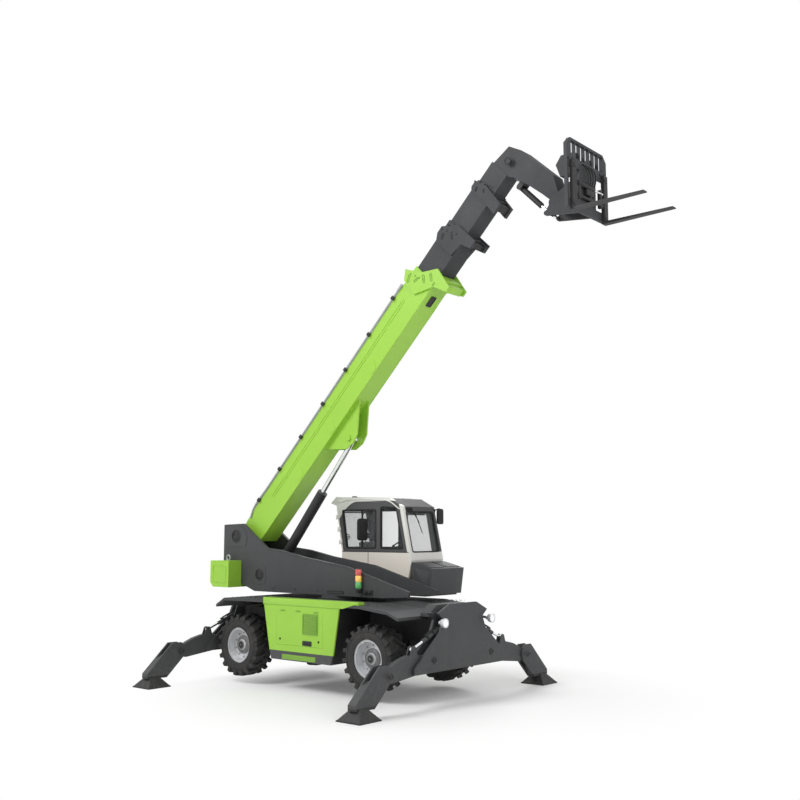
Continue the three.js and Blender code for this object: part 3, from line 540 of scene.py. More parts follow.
def buildTyre(corner):
    low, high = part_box(f"tyre_{corner}")
    centre = (low + high) / 2
    radius = (high.z - low.z) / 2
    half = (high.y - low.y) / 2
    bead = (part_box(f"rim_{corner}")[1].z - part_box(f"rim_{corner}")[0].z) / 2
    carcass = radius - tyre["lugHeight"]
    profile = [(bead, -half + 0.012), (bead + 0.035, -half + 0.002), (bead + 0.09, -half),
               (carcass - 0.06, -half + 0.012), (carcass - 0.016, -half + 0.034), (carcass, -half + 0.085),
               (carcass + 0.004, 0)]
    mirrored = [(r, -h) for r, h in reversed(profile[:-1])]
    bm = bmesh.new()
    turned(bm, profile + mirrored, centre, (0, 1, 0), 72)
    for ring in (bead + 0.05, bead + 0.066, carcass - 0.075):  # raised rings moulded on both walls
        moulding = [(ring - 0.004, -0.006), (ring + 0.004, -0.006),
                    (ring + 0.002, 0.003), (ring - 0.002, 0.003)]
        for way in (-1, 1):
            turned(bm, moulding, centre + Vector((0, way * (half - 0.004), 0)), (0, way, 0), 60)
    start, wide, deep = 0.012, half - 0.004, tyre["lugWidth"] / 2
    slant = tyre["sweep"] * (wide - start) * 0.5
    for lug in range(tyre["lugs"]):
        for way in (-1, 1):
            turn = Matrix.Rotation(math.tau * (lug + 0.25 * way) / tyre["lugs"], 4, "Y")
            outline = [(-deep - slant, start), (deep - slant, start), (deep * 1.5 + slant * 0.4, wide * 0.7),
                       (deep * 1.6 + slant * 0.5, wide), (-deep * 1.4 + slant * 0.5, wide),
                       (-deep * 1.2 + slant * 0.4, wide * 0.7)]
            sided = [(along, way * across) for along, across in outline]
            verts = plate(bm, sided, carcass - 0.02, radius - 0.0015, along="Z")
            for vert in verts:  # the lug wraps down over the shoulder, and its top follows the round
                outer = max(0, abs(vert.co.y) / half - 0.72)
                if vert.co.z < carcass:
                    vert.co.z -= outer * 0.2
                else:
                    vert.co.z -= outer * 0.045 + vert.co.x ** 2 / (2 * radius)
                    vert.co.x *= 0.84
            bmesh.ops.transform(bm, matrix=Matrix.Translation(centre) @ turn, verts=verts)
    finished(f"treadTyre_{corner}", bm, f"wheel_{corner}", "tyre", smooth=40, replaces=(f"tyre_{corner}",))


def buildHub(corner, side):
    # wheel nuts, and the planet hub's cover with its bolts and plug
    low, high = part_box(f"rim_{corner}")
    centre = Vector(((low.x + high.x) / 2, 0, (low.z + high.z) / 2))
    face = side * tyre["face"]
    bm = bmesh.new()
    for step in range(tyre["nuts"]):
        turn = math.tau * (step + 0.5) / tyre["nuts"]
        spot = centre + Vector((tyre["nutCircle"] * math.cos(turn), face, tyre["nutCircle"] * math.sin(turn)))
        rod(bm, spot, spot + Vector((0, side * 0.045, 0)), 0.009, 10)
        nut(bm, spot + Vector((0, side * 0.001, 0)), (0, side, 0), 0.034, 0.024)
    finished(f"wheelNuts_{corner}", bm, f"wheel_{corner}", "zinc")
    bm = bmesh.new()
    turned(bm, tyre["hub"], centre + Vector((0, face, 0)), (0, side, 0), 40)
    for step in range(tyre["hubNuts"]):
        turn = math.tau * step / tyre["hubNuts"]
        around = Vector((tyre["hubCircle"] * math.cos(turn), 0, tyre["hubCircle"] * math.sin(turn)))
        nut(bm, centre + around + Vector((0, face + side * 0.06, 0)), (0, side, 0), 0.018, 0.016)
    nut(bm, centre + Vector((0, face + side * 0.094, 0)), (0, side, 0), 0.04, 0.018)
    finished(f"hubCover_{corner}", bm, f"wheel_{corner}", "hub")


for corner, (fore, side) in corners.items():
    buildTyre(corner)
    buildHub(corner, side)
print("wheels done")


# ---- boom

boom = {
    "pipe": 0.019, "hose": 0.017, "bolt": 0.03, "lane": 0.055, "clampBolt": 0.027,
    "clampPitch": 0.85, "stripHalf": 0.008,
    # each tube's start, end, half width, underside and top
    "tubes": {"boom_base": (0.28, 6.70, 0.230, -0.43, 0.14), "boom_2": (7.0, 7.74, 0.204, -0.404, 0.114),
              "boom_3": (7.8, 8.60, 0.182, -0.382, 0.092), "boom_4": (8.66, 8.99, 0.163, -0.363, 0.073)},
    # each collar's body, half width, slots (along, up, length, slant) and finish
    "collars": {
        "base": ("boom_base", 0.264, [
            (6.44, 0.10, 0.15, 24), (6.53, -0.06, 0.13, -12), (6.64, -0.19, 0.16, 52),
            (6.76, -0.31, 0.15, 52), (6.70, -0.45, 0.08, 0)], "limeDeep"),
        "second": ("boom_2", 0.230, [(7.44, 0.02, 0.12, 20), (7.55, -0.16, 0.1, 50)], "soot"),
        "third": ("boom_3", 0.204, [(8.46, 0.0, 0.09, 15), (8.52, -0.16, 0.08, 45)], "soot")},
    # the box that ties each collar's ears together under the tube: along, up, half width and finish
    "bridges": {"boom_base": ((6.70, 6.90), (-0.74, -0.432), 0.262, "lime"),
                "boom_2": ((7.60, 7.74), (-0.61, -0.406), 0.228, "soot"),
                "boom_3": ((8.36, 8.55), (-0.6, -0.384), 0.202, "soot")},
}
upBoom = boomFrame.to_3x3() @ Vector((0, 0, 1))


def buildBoomPipes():
    # two steel pipes in clamps along the upper right edge, and hoses looping back into the tail
    bm = bmesh.new()
    side = -boom["tubes"]["boom_base"][2] - 0.012
    top = boom["tubes"]["boom_base"][4] + 0.03
    for lane in range(2):
        y = side + boom["lane"] * lane
        path = [(0.42, y, 0.1), (0.62, y, top), (1.2, y, top), (3.4, y, top), (5.7, y, top), (6.15, y, top)]
        run(bm, path, boom["pipe"], boomFrame)
        rod(bm, (6.12, y, top), (6.26, y, top), 0.03, 6, place=boomFrame)
    finished("boomPipes", bm, "boom_base", "zinc")
    bm = bmesh.new()
    for step in range(7):
        s = boom["clampPitch"] * (step + 1)
        block(bm, (s - 0.035, side - 0.035, top - 0.034), (s + 0.035, side + 0.09, top + 0.03), boomFrame)
        nut(bm, boomFrame @ Vector((s, side + boom["clampBolt"], top + 0.03)), upBoom, boom["bolt"], 0.022)
    finished("pipeClamps", bm, "boom_base", "soot", bevel=0.006)
    bm = bmesh.new()
    for lane in range(3):
        y = 0.07 * (lane - 1)
        loop = [(0.30, y, 0.05), (0.12, y, 0.0), (-0.06, y, -0.16), (0.02, y, -0.34), (0.29, y, -0.36)]
        run(bm, loop, boom["hose"], boomFrame)
    finished("tailHoses", bm, "boom_base", "hose")


def buildBoomSides():
    # long pressed strips, weld seams and the tail cover
    bm = bmesh.new()
    start, end, half, low, high = boom["tubes"]["boom_base"]
    for way in (-1, 1):
        y = way * half
        for up in (-0.035, -0.085):
            under, over = up - boom["stripHalf"], up + boom["stripHalf"]
            outline = [(1.2, under), (6.05, under), (6.08, up), (6.05, over), (1.2, over), (1.17, up)]
            plate(bm, outline, *skin(y, way * 0.007), boomFrame)
        for s in (1.9, 3.1, 4.6):  # doubler plates where the side is stiffened
            foot, head = low + 0.02, low + 0.2
            doubler = rounded([(s, foot), (s + 0.16, foot), (s + 0.24, head), (s - 0.08, head)], 0.03)
            plate(bm, doubler, *skin(y, way * 0.005), boomFrame)
    for up in (low, high):
        for way in (-1, 1):
            y = way * (half - 0.004)
            rod(bm, (start + 0.1, y, up), (end - 0.4, y, up), 0.007, 8, place=boomFrame)
    finished("boomSeams", bm, "boom_base", "lime")
    bm = bmesh.new()
    cover = panel(-0.16, -0.38, 0.16, 0.09, 0.04)
    plate(bm, cover, start - 0.014, start + 0.002, boomFrame, "X")
    for y, up in ((-0.13, -0.35), (0.13, -0.35), (-0.13, 0.06), (0.13, 0.06)):
        nut(bm, boomFrame @ Vector((start - 0.013, y, up)), -alongBoom, boom["bolt"], 0.018)
    finished("tailCover", bm, "boom_base", "soot", bevel=0.003)


def buildCollars():
    # rims round each collar's slots, its bolts, the bridge under it, and the dark mouth under the base tube, whose
    # black sheet is painted shade for the opening
    for name, (body, half, holes, tone) in boom["collars"].items():
        bm = bmesh.new()
        for way in (-1, 1):
            for s, up, long, turn in holes:
                spin = Matrix.Rotation(-math.radians(turn), 4, "Y")
                spot = boomFrame @ Matrix.Translation((s, way * half, up)) @ spin
                wide = long * 0.16
                outline = panel(-long / 2, -wide, long / 2, wide, wide)
                hoop(bm, outline, wide * 0.45, *sorted((way * -0.002, way * 0.007)), spot)
        finished(f"collarSlots_{name}", bm, body, tone)
        bm = bmesh.new()
        start = holes[0][0]
        for way in (-1, 1):
            for step in range(4):
                spot = boomFrame @ Vector((start + 0.09 + 0.035 * step, way * half, 0.12 - 0.11 * step))
                nut(bm, spot, (0, way, 0), 0.022, 0.014)
        for step in range(4):  # wear pad screws across the top
            spot = boomFrame @ Vector((start + 0.05, -0.12 + 0.08 * step, collarTop(body)))
            nut(bm, spot, upBoom, 0.024, 0.014)
        finished(f"collarBolts_{name}", bm, body, tone)
    for body, ((near, far), (foot, head), half, tone) in boom["bridges"].items():
        bm = bmesh.new()
        step = foot + 0.12
        block(bm, (near, -half, step), (far, half, head), boomFrame)
        block(bm, (near + 0.03, -half * 0.8, foot), (far - 0.03, half * 0.8, step), boomFrame)
        finished(f"collarBridge_{body}", bm, body, tone, bevel=0.008)
    bm = bmesh.new()
    low = boom["tubes"]["boom_base"][3]
    mouth = panel(6.24, -0.085, 6.46, 0.06, 0.03)
    hoop(bm, mouth, 0.014, low - 0.012, low + 0.001, boomFrame, "Z")
    # the black sheet flush with the belly is painted shade standing in for the opening
    plate(bm, shrunk(mouth, 0.016), low - 0.004, low + 0.001, boomFrame, "Z")
    finished("bellyMouth", bm, "boom_base", "soot")


def collarTop(body):
    # the highest point of a tube's collar, measured square to the boom
    heights = ((vert.co - boomFrame.translation).dot(upBoom) for vert in nodes[body].data.vertices)
    return max(heights) - 0.002


def buildHighlightStripsAndPads():
    # painted highlights as bright strips along the top edges of each inner tube, and black pads at the mouths
    for name in ("boom_2", "boom_3"):
        bm = bmesh.new()
        start, end, half, low, high = boom["tubes"][name]
        for way in (-1, 1):
            y = sorted((way * (half - 0.045), way * (half - 0.03)))
            block(bm, (start - 0.2, y[0], high - 0.001), (end - 0.32, y[1], high + 0.003), boomFrame)
        # the bright strips are a painted highlight along each tube's top edges
        finished(f"highlightStrips_{name}", bm, name, "zinc")
    pairs = (("boom_base", "boom_2", 6.44), ("boom_2", "boom_3", 7.60), ("boom_3", "boom_4", 8.54))
    for outer, inner, s in pairs:
        bm = bmesh.new()
        half, low, high = boom["tubes"][inner][2:]
        for way in (-1, 1):
            y = sorted((way * (half + 0.004), way * (half + 0.022)))
            block(bm, (s - 0.02, y[0], high - 0.14), (s + 0.075, y[1], high - 0.02), boomFrame)
            block(bm, (s - 0.02, y[0], low + 0.04), (s + 0.075, y[1], low + 0.16), boomFrame)
        finished(f"wearPads_{outer}", bm, outer, "seal", bevel=0.004)


def buildBoomPins():
    # a ringed cap with three bolts on each end of the large pins
    pins = {
        "boomFoot": ("turret", boomFrame @ Vector((0, 0, 0)), 0.422, 0.105),
        "liftFoot": ("turret", Vector(joints["lift_barrel_swing"]["pos_m"]), 0.422, 0.09),
        "elbow": ("boom_4", boomFrame @ Vector((9.18, 0, -0.25)), 0.222, 0.055),
        "forkPivot": ("boom_4", Vector(joints["fork_tilt"]["pos_m"]), 0.156, 0.05),
    }
    for name, (body, spot, half, radius) in pins.items():
        bm = bmesh.new()
        for way in (-1, 1):
            ring = [(1, 0), (1.28, 0), (1.28, 0.012), (1.18, 0.018), (1, 0.018)]
            face = [(0, 0), (0.96, 0), (0.96, 0.006), (0.88, 0.011), (0.01 / radius, 0.011), (0, 0.011)]
            for profile in (ring, face):
                scaled = [(share * radius, height) for share, height in profile]
                turned(bm, scaled, (spot.x, way * half, spot.z), (0, way, 0), 36)
            middle = Vector((spot.x, way * (half + 0.01), spot.z))
            for turn in (0.6, 2.7, 4.8):
                around = Vector((math.cos(turn), 0, math.sin(turn))) * radius * 0.62
                nut(bm, middle + around, (0, way, 0), radius * 0.26, 0.012)
        finished(f"pinCaps_{name}", bm, body, "soot")


buildBoomPipes()
buildBoomSides()
buildCollars()
buildHighlightStripsAndPads()
buildBoomPins()
print("boom done")


# ---- turret

turret = {
    "face": 0.42,
    "seams": ([(-2.46, 1.80), (-2.03, 1.66), (1.25, 1.66)],
              [(-2.42, 2.94), (-1.72, 2.475), (-1.31, 2.435), (-0.67, 2.315), (0.43, 2.165), (1.80, 1.79)]),
    # plates welded round the boom's foot pin and the lift cylinder's, each with its thickness
    "doublers": (([(-2.98, 2.50), (-2.98, 2.93), (-2.46, 2.93), (-2.30, 2.74), (-2.34, 2.52)], 0.008),
                 ([(-2.12, 1.80), (-2.12, 2.14), (-1.95, 2.2), (-1.76, 2.14), (-1.72, 1.84), (-1.9, 1.78)], 0.006)),
}
stack = {"at": (0.80, -0.485, 1.76), "radius": 0.055, "lens": 0.105, "gap": 0.008, "foot": 0.05,
         "colours": ("green", "amber", "red")}


def buildTurretDetails():
    # a rimmed slot and a small cover with two bosses, then weld seams and doublers, on both side plates
    bm = bmesh.new()
    for way in (-1, 1):
        face = way * turret["face"]
        near, far = skin(face, way * 0.02)
        slot = panel(-0.03, 1.69, 0.38, 1.745, 0.02)
        hoop(bm, slot, 0.012, *skin(face, way * 0.012), slewFrame)
        for x, z in ((0.94, 1.75), (1.03, 1.75)):
            rod(bm, (x, face, z), (x, face + way * 0.05, z), 0.04, 24, tip=0.034, place=slewFrame)
        block(bm, (0.88, near, 1.70), (1.09, far, 1.79), slewFrame)
    finished("turretSlots", bm, "turret", "soot", bevel=0.004)
    bm = bmesh.new()
    for way in (-1, 1):
        face = way * turret["face"]
        for seam in turret["seams"]:
            for start, end in zip(seam, seam[1:]):
                rod(bm, (start[0], face, start[1]), (end[0], face, end[1]), 0.006, 6, place=slewFrame)
        for outline, thickness in turret["doublers"]:
            plate(bm, rounded(outline, 0.06), *skin(face, way * thickness), slewFrame)
        for x in (-1.5, -0.9, -0.3, 0.3, 0.9):
            nut(bm, slewFrame @ Vector((x, face, 1.73)), (0, way, 0), 0.028, 0.014)
    finished("turretSeams", bm, "turret", "slate")


def buildTurretWell():
    # the valve block between the plates, with hoses to the boom
    bm = bmesh.new()
    block(bm, (-0.30, -0.2, 1.77), (0.28, 0.2, 1.93), slewFrame)
    for step in range(6):
        x = -0.25 + 0.095 * step
        block(bm, (x, -0.17, 1.93), (x + 0.07, 0.06, 2.0), slewFrame)
        rod(bm, (x + 0.035, -0.12, 2.0), (x + 0.035, -0.12, 2.05), 0.022, 12, place=slewFrame)
        rod(bm, (x + 0.035, 0.12, 1.93), (x + 0.035, 0.12, 1.985), 0.018, 6, place=slewFrame)
    finished("valveBlock", bm, "turret", "zinc", bevel=0.004)
    bm = bmesh.new()
    for lane in range(4):
        y = -0.09 + 0.06 * lane
        wall = 0.27 + 0.015 * lane
        path = [(-0.22 + 0.12 * lane, 0.12, 1.97), (-0.2, 0.14 + 0.02 * lane, 2.08),
                (-0.5, wall, 2.0), (-1.3, wall, 1.95), (-2.3, 0.24, 2.0 + 0.03 * lane),
                (-2.72, y, 2.15 + 0.02 * lane), (-2.74, y, 2.34)]
        run(bm, path, 0.015, slewFrame, 2, 5)
    finished("wellHoses", bm, "turret", "hose")


def buildStackLight():
    # three lamps one above another on a bracket
    x, y, z = stack["at"]
    radius, lens = stack["radius"], stack["lens"]
    pitch = lens + stack["gap"]
    bm = bmesh.new()
    rod(bm, (x, y, z), (x, y, z + stack["foot"]), radius * 1.05, 28, place=slewFrame)
    rod(bm, (x, y, z - 0.02), (x, y, z), 0.02, 16, place=slewFrame)
    block(bm, (x - 0.035, y - 0.03, z - 0.035), (x + 0.035, -turret["face"], z - 0.02), slewFrame)
    top = z + stack["foot"] + len(stack["colours"]) * pitch
    rod(bm, (x, y, top), (x, y, top + 0.014), radius, 28, tip=radius * 0.8, place=slewFrame)
    finished("stackBase", bm, "turret", "soot", bevel=0.003)
    for step, tone in enumerate(stack["colours"]):
        bm = bmesh.new()
        foot = z + stack["foot"] + step * pitch
        profile = [(0, 0), (radius * 0.92, 0), (radius, 0.006),
                   (radius, lens - 0.006), (radius * 0.92, lens), (0, lens)]
        turned(bm, profile, (x, y, foot), steps=32, place=slewFrame)
        rod(bm, (x, y, foot + lens), (x, y, foot + pitch), radius * 0.86, 28, place=slewFrame)
        finished(f"stackLamp_{tone}", bm, "turret", tone)


def buildCounterweight():
    # a cast rim on each side and the lifting eyes
    low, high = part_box("counterweight")
    bm = bmesh.new()
    for way in (-1, 1):
        side = panel(low.x + 0.08, low.z + 0.09, high.x - 0.08, high.z - 0.09, 0.05)
        hoop(bm, side, 0.014, *sorted((way * 0.748, way * 0.756)))
    finished("castRims", bm, "turret", "lime")
    bm = bmesh.new()
    for y in (-0.52, 0.52):
        middle = Vector(((low.x + high.x) / 2, y, high.z))
        ring = wire(0.05, 0.014, 10)
        turned(bm, ring, middle + Vector((0, 0, 0.055)), (0, 1, 0), 28)
        rod(bm, middle, middle + Vector((0, 0, 0.016)), 0.042, 24)
    finished("liftingEyes", bm, "turret", "zinc")


def buildLocker():
    # the locker's lids, latches, vents and a tank cap
    low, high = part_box("turret_locker")
    bm = bmesh.new()
    third = (high.x - low.x) / 3
    for step in range(3):
        x = low.x + third * step
        front = panel(x + 0.03, low.z + 0.05, x + third - 0.03, high.z - 0.05, 0.03)
        plate(bm, front, high.y - 0.002, high.y + 0.012)
        lid = panel(x + 0.03, low.y + 0.06, x + third - 0.03, high.y - 0.03, 0.03)
        plate(bm, lid, high.z - 0.002, high.z + 0.012, along="Z")
    finished("lockerLids", bm, "turret", "slate", bevel=0.004)
    bm = bmesh.new()
    for step in range(3):
        x = low.x + third * (step + 0.5)
        block(bm, (x - 0.05, high.y + 0.01, high.z - 0.12), (x + 0.05, high.y + 0.024, high.z - 0.08))
        block(bm, (x - 0.014, high.y + 0.022, high.z - 0.15), (x + 0.014, high.y + 0.034, high.z - 0.085))
    for step in range(9):
        z = low.z + 0.1 + 0.025 * step
        block(bm, (low.x + 0.1, high.y + 0.008, z), (low.x + third - 0.1, high.y + 0.022, z + 0.012))
    tankCap = [(0, 0), (0.07, 0), (0.07, 0.03), (0.06, 0.045), (0, 0.045)]
    turned(bm, tankCap, (high.x - 0.2, (low.y + high.y) / 2, high.z + 0.01), steps=28)
    finished("lockerLatches", bm, "turret", "soot", bevel=0.003)


buildTurretDetails()
buildTurretWell()
buildStackLight()
buildCounterweight()
buildLocker()
print("turret done")


# ---- cab

cab = {"right": 0.45, "left": 1.4, "glass": 0.006, "seal": 0.026,
       "rearWindow": [(-0.38, 2.50), (0.39, 2.50), (0.39, 3.24), (-0.50, 3.24)],
       "frontWindow": [(0.50, 2.50), (1.07, 2.50), (0.90, 3.27), (0.50, 3.29)],
       "leftRear": [(-0.38, 2.50), (0.19, 2.50), (0.19, 3.24), (-0.50, 3.24)],
       "doorGlass": [(0.37, 2.30), (1.07, 2.30), (0.90, 3.17), (0.37, 3.20)],
       "screen": [(0.52, 0.143), (1.33, 0.143), (1.33, 0.922), (0.52, 0.922)],
       "back": [(0.54, 2.50), (1.31, 2.50), (1.31, 3.22), (0.54, 3.22)],
       "roof": [(-0.30, 0.60), (0.62, 0.60), (0.62, 1.25), (-0.30, 1.25)]}
screenFrame = slewFrame @ Matrix.Translation((1.27, 0, 2.30)) @ Matrix.Rotation(-math.atan(0.2222), 4, "Y")
backFrame = slewFrame @ Matrix.Translation((-0.50, 0, 2.44)) @ Matrix.Rotation(-math.atan(0.18), 4, "Y")
backFrame = backFrame @ Matrix.Translation((0, 0, -2.44))
roofFrame = slewFrame @ Matrix.Translation((-0.67, 0, 3.50)) @ Matrix.Rotation(math.atan(0.05 / 1.4), 4, "Y")
roofFrame = roofFrame @ Matrix.Translation((0.67, 0, 0))


def glaze(name, outline, face, way, place, along, look="glass", body="turret", stile=()):
    # a pane set in its opening, with a rubber seal lapping both edges
    bm = bmesh.new()
    depth = sorted((face - way * 0.024, face - way * (0.024 + cab["glass"])))
    plate(bm, shrunk(rounded(outline, 0.05), 0.003), *depth, place, along)
    finished(f"pane_{name}", bm, body, look)
    bm = bmesh.new()
    lap = shrunk(rounded(outline, 0.06), -0.012)
    hoop(bm, lap, cab["seal"], *sorted((face + way * 0.005, face - way * 0.002)), place, along)
    inner = shrunk(rounded(outline, 0.05), 0.001)
    hoop(bm, inner, cab["seal"] * 0.7, *sorted((face - way * 0.001, face - way * 0.04)), place, along)
    if stile:
        block(bm, *stile, place)
    finished(f"seal_{name}", bm, body, "seal")


def buildGlass():
    right, left = cab["right"], cab["left"]
    glaze("rightRear", cab["rearWindow"], right, -1, slewFrame, "Y",
          stile=((0.0, right + 0.01, 2.5), (0.025, right + 0.04, 3.24)))
    glaze("rightFront", cab["frontWindow"], right, -1, slewFrame, "Y")
    glaze("leftRear", cab["leftRear"], left, 1, slewFrame, "Y")
    glaze("door", cab["doorGlass"], left, 1, slewFrame, "Y", body="cab_door")
    glaze("screen", cab["screen"], 0.0, 1, screenFrame, "X", "screen")
    glaze("back", cab["back"], 0.0, -1, backFrame, "X")
    glaze("roof", cab["roof"], 0.0, 1, roofFrame, "Z", "screen")


def buildWiper():
    bm = bmesh.new()
    rod(bm, (0.012, 0.62, 0.965), (0.05, 0.62, 0.965), 0.026, 18, place=screenFrame)
    run(bm, [(0.045, 0.62, 0.965), (0.05, 0.70, 0.86), (0.034, 0.82, 0.70)], 0.009, screenFrame)
    rod(bm, (0.02, 0.76, 0.90), (0.02, 0.88, 0.50), 0.008, 8, place=screenFrame)
    block(bm, (0.0, 0.70, 0.945), (0.035, 0.54, 0.99), screenFrame)
    finished("wiper", bm, "turret", "seal")


def mirrorPair(name, middle, width, height, face, arm):
    # a rounded housing with its glass let in, on a bent tube
    bm = bmesh.new()
    outline = panel(-width / 2, -height / 2, width / 2, height / 2, width * 0.28)
    facing = Vector(face).to_track_quat("X", "Z").to_matrix().to_4x4()
    turn = slewFrame @ Matrix.Translation(middle) @ facing
    plate(bm, outline, -0.03, 0.018, turn, "X")
    soften(bm, 0.012)
    run(bm, arm, 0.011, slewFrame)
    rise = Vector((0, 0, 0.035))
    for end in (arm[0], arm[-1]):
        rod(bm, Vector(end) - rise, Vector(end) + rise, 0.02, 14, place=slewFrame)
    finished(f"mirrorShell_{name}", bm, "turret", "seal")
    bm = bmesh.new()
    plate(bm, shrunk(outline, 0.014), -0.036, -0.0295, turn, "X")
    finished(f"mirrorGlass_{name}", bm, "turret", "mirror")


def buildCabTrim():
    # rain gutters, hinges, the window latch, the grab rail, the door's handle and hinges, and the panel seams
    right, left = cab["right"], cab["left"]
    bm = bmesh.new()
    for y in (right - 0.006, left + 0.006):
        eave = [(-0.62, y, 3.39), (-0.3, y, 3.435), (0.4, y, 3.425), (0.72, y, 3.39), (0.98, y, 3.24)]
        run(bm, eave, 0.011, slewFrame)
    for y in (right - 0.001, left + 0.001):
        rod(bm, (1.02, y, 3.24), (1.245, y, 2.32), 0.01, 8, place=slewFrame)
    finished("rainGutters", bm, "turret", "offWhite")
    bm = bmesh.new()
    for y, way in ((right, -1), (left, 1)):
        for z in (2.62, 2.86, 3.1):
            x = -0.505 - (z - 2.44) * 0.18
            near, far = skin(y, way * 0.018)
            block(bm, (x - 0.018, near, z - 0.035), (x + 0.05, far, z + 0.035), slewFrame)
            pin = y + way * 0.012
            rod(bm, (x - 0.014, pin, z - 0.045), (x - 0.014, pin, z + 0.045), 0.014, 12, place=slewFrame)
    finished("cabHinges", bm, "turret", "offWhite", bevel=0.002)
    bm = bmesh.new()
    ring = wire(0.045, 0.008, 8)
    turned(bm, ring, (-0.35, right + 0.002, 2.72), (0, 1, 0), 24, slewFrame)
    rod(bm, (-0.39, right + 0.002, 2.72), (-0.31, right + 0.002, 2.72), 0.008, 10, place=slewFrame)
    finished("windowLatch", bm, "turret", "seal")
    bm = bmesh.new()
    foot, reach = left + 0.012, left + 0.075
    run(bm, [(0.20, foot, 1.95), (0.20, reach, 2.0), (0.20, reach, 2.9), (0.20, foot, 2.95)], 0.014, slewFrame)
    finished("grabRails", bm, "turret", "soot")
    bm = bmesh.new()
    plate(bm, panel(0.98, 2.05, 1.08, 2.15, 0.02), left - 0.002, left + 0.012, slewFrame)
    foot, reach = left + 0.01, left + 0.045
    run(bm, [(0.99, foot, 2.1), (1.0, reach, 2.1), (1.05, reach, 2.1), (1.07, foot, 2.1)], 0.010, slewFrame)
    for z in (2.0, 2.9):
        rod(bm, (0.312, foot, z - 0.05), (0.312, foot, z + 0.05), 0.014, 12, place=slewFrame)
        leaf = [(0.318, z - 0.035), (0.42, z - 0.03), (0.42, z + 0.03), (0.318, z + 0.035)]
        plate(bm, leaf, left, left + 0.008, slewFrame)
    finished("doorHandle", bm, "cab_door", "soot", bevel=0.002)
    bm = bmesh.new()
    upright = [(0.184, 1.70), (0.196, 1.70), (0.196, 2.44), (0.184, 2.44)]
    plate(bm, upright, right - 0.002, right + 0.001, slewFrame)
    level = [(0.37, 2.43), (-0.49, 2.43), (-0.49, 2.442), (1.2, 2.442), (1.2, 2.43)]
    plate(bm, level, right - 0.0025, right + 0.001, slewFrame)
    finished("panelSeam", bm, "turret", "seal")
    bm = bmesh.new()
    socket = [(0, 0), (0.055, 0), (0.055, 0.03), (0.04, 0.04), (0, 0.04)]
    turned(bm, socket, (-0.45, 0.75, 3.478), steps=24, place=slewFrame)
    finished("beaconFoot", bm, "turret", "soot")


def buildNose():
    # lids and side panels on the box ahead of the cab
    right, left = cab["right"], cab["left"]
    bm = bmesh.new()
    (x, z), (tipX, tipZ) = (1.31, 2.264), (1.735, 2.165)
    lean = Matrix.Rotation(math.atan2(z - tipZ, tipX - x), 4, "Y")
    place = slewFrame @ Matrix.Translation((x, 0, z - 0.008)) @ lean
    for y in (0.49, 0.95):
        lid = panel(0.02, y, 0.40, y + 0.41, 0.04)
        plate(bm, lid, 0.0, 0.010, place, "Z")
    side = rounded([(1.33, 1.74), (1.65, 1.74), (1.70, 2.08), (1.33, 2.17)], 0.04)
    for y, way in ((right, -1), (left, 1)):
        plate(bm, side, *skin(y, way * 0.007), slewFrame)
    finished("noseLids", bm, "turret", "slate", bevel=0.003)


buildGlass()
buildWiper()
mirrorPair("left", (1.12, 1.51, 3.11), 0.17, 0.30, (1, 0, 0),
           [(1.06, 1.395, 3.22), (1.10, 1.44, 3.25), (1.12, 1.50, 3.25), (1.115, 1.51, 3.2)])
mirrorPair("right", (0.10, 0.385, 2.86), 0.22, 0.42, (1, -0.35, 0),
           [(0.24, 0.44, 3.18), (0.2, 0.40, 3.2), (0.12, 0.39, 3.17), (0.10, 0.385, 3.02)])
buildCabTrim()
buildNose()
print("cab outside done")


# ---- cab inside

seat = {"middle": 0.925, "half": 0.255, "cushion": (-0.22, 0.27, 2.06, 2.185), "tall": 0.60, "lean": 0.22,
        "voxel": 0.006, "pressure": 4.0, "swell": 0.014}


def cushionShell(low, high, place, channels):
    # a rounded block, pinched along its sewn channels, ready to be blown up
    bm = bmesh.new()
    block(bm, low, high)
    soften(bm, 0.035, 4)
    bmesh.ops.subdivide_edges(bm, edges=bm.edges, cuts=2, use_grid_fill=True)
    for start in channels:
        plane = {"plane_co": (0, start, 0), "plane_no": (0, 1, 0)}
        bmesh.ops.bisect_plane(bm, geom=bm.verts[:] + bm.edges[:] + bm.faces[:], **plane)
    middle = (Vector(low) + Vector(high)) / 2
    for vert in bm.verts:  # raised bolsters along both sides, a low middle, and pinched channels
        away = vert.co - middle
        across = abs(away.y) / (high[1] - middle.y)
        if away.z > 0:
            vert.co.z += 0.022 * max(0, across - 0.45) - 0.01 * (1 - across)
        for start in channels:
            if abs(vert.co.y - start) < 1e-4 and away.z > 0:
                vert.co.z -= 0.012
    bmesh.ops.transform(bm, matrix=place, verts=bm.verts)
    return bm


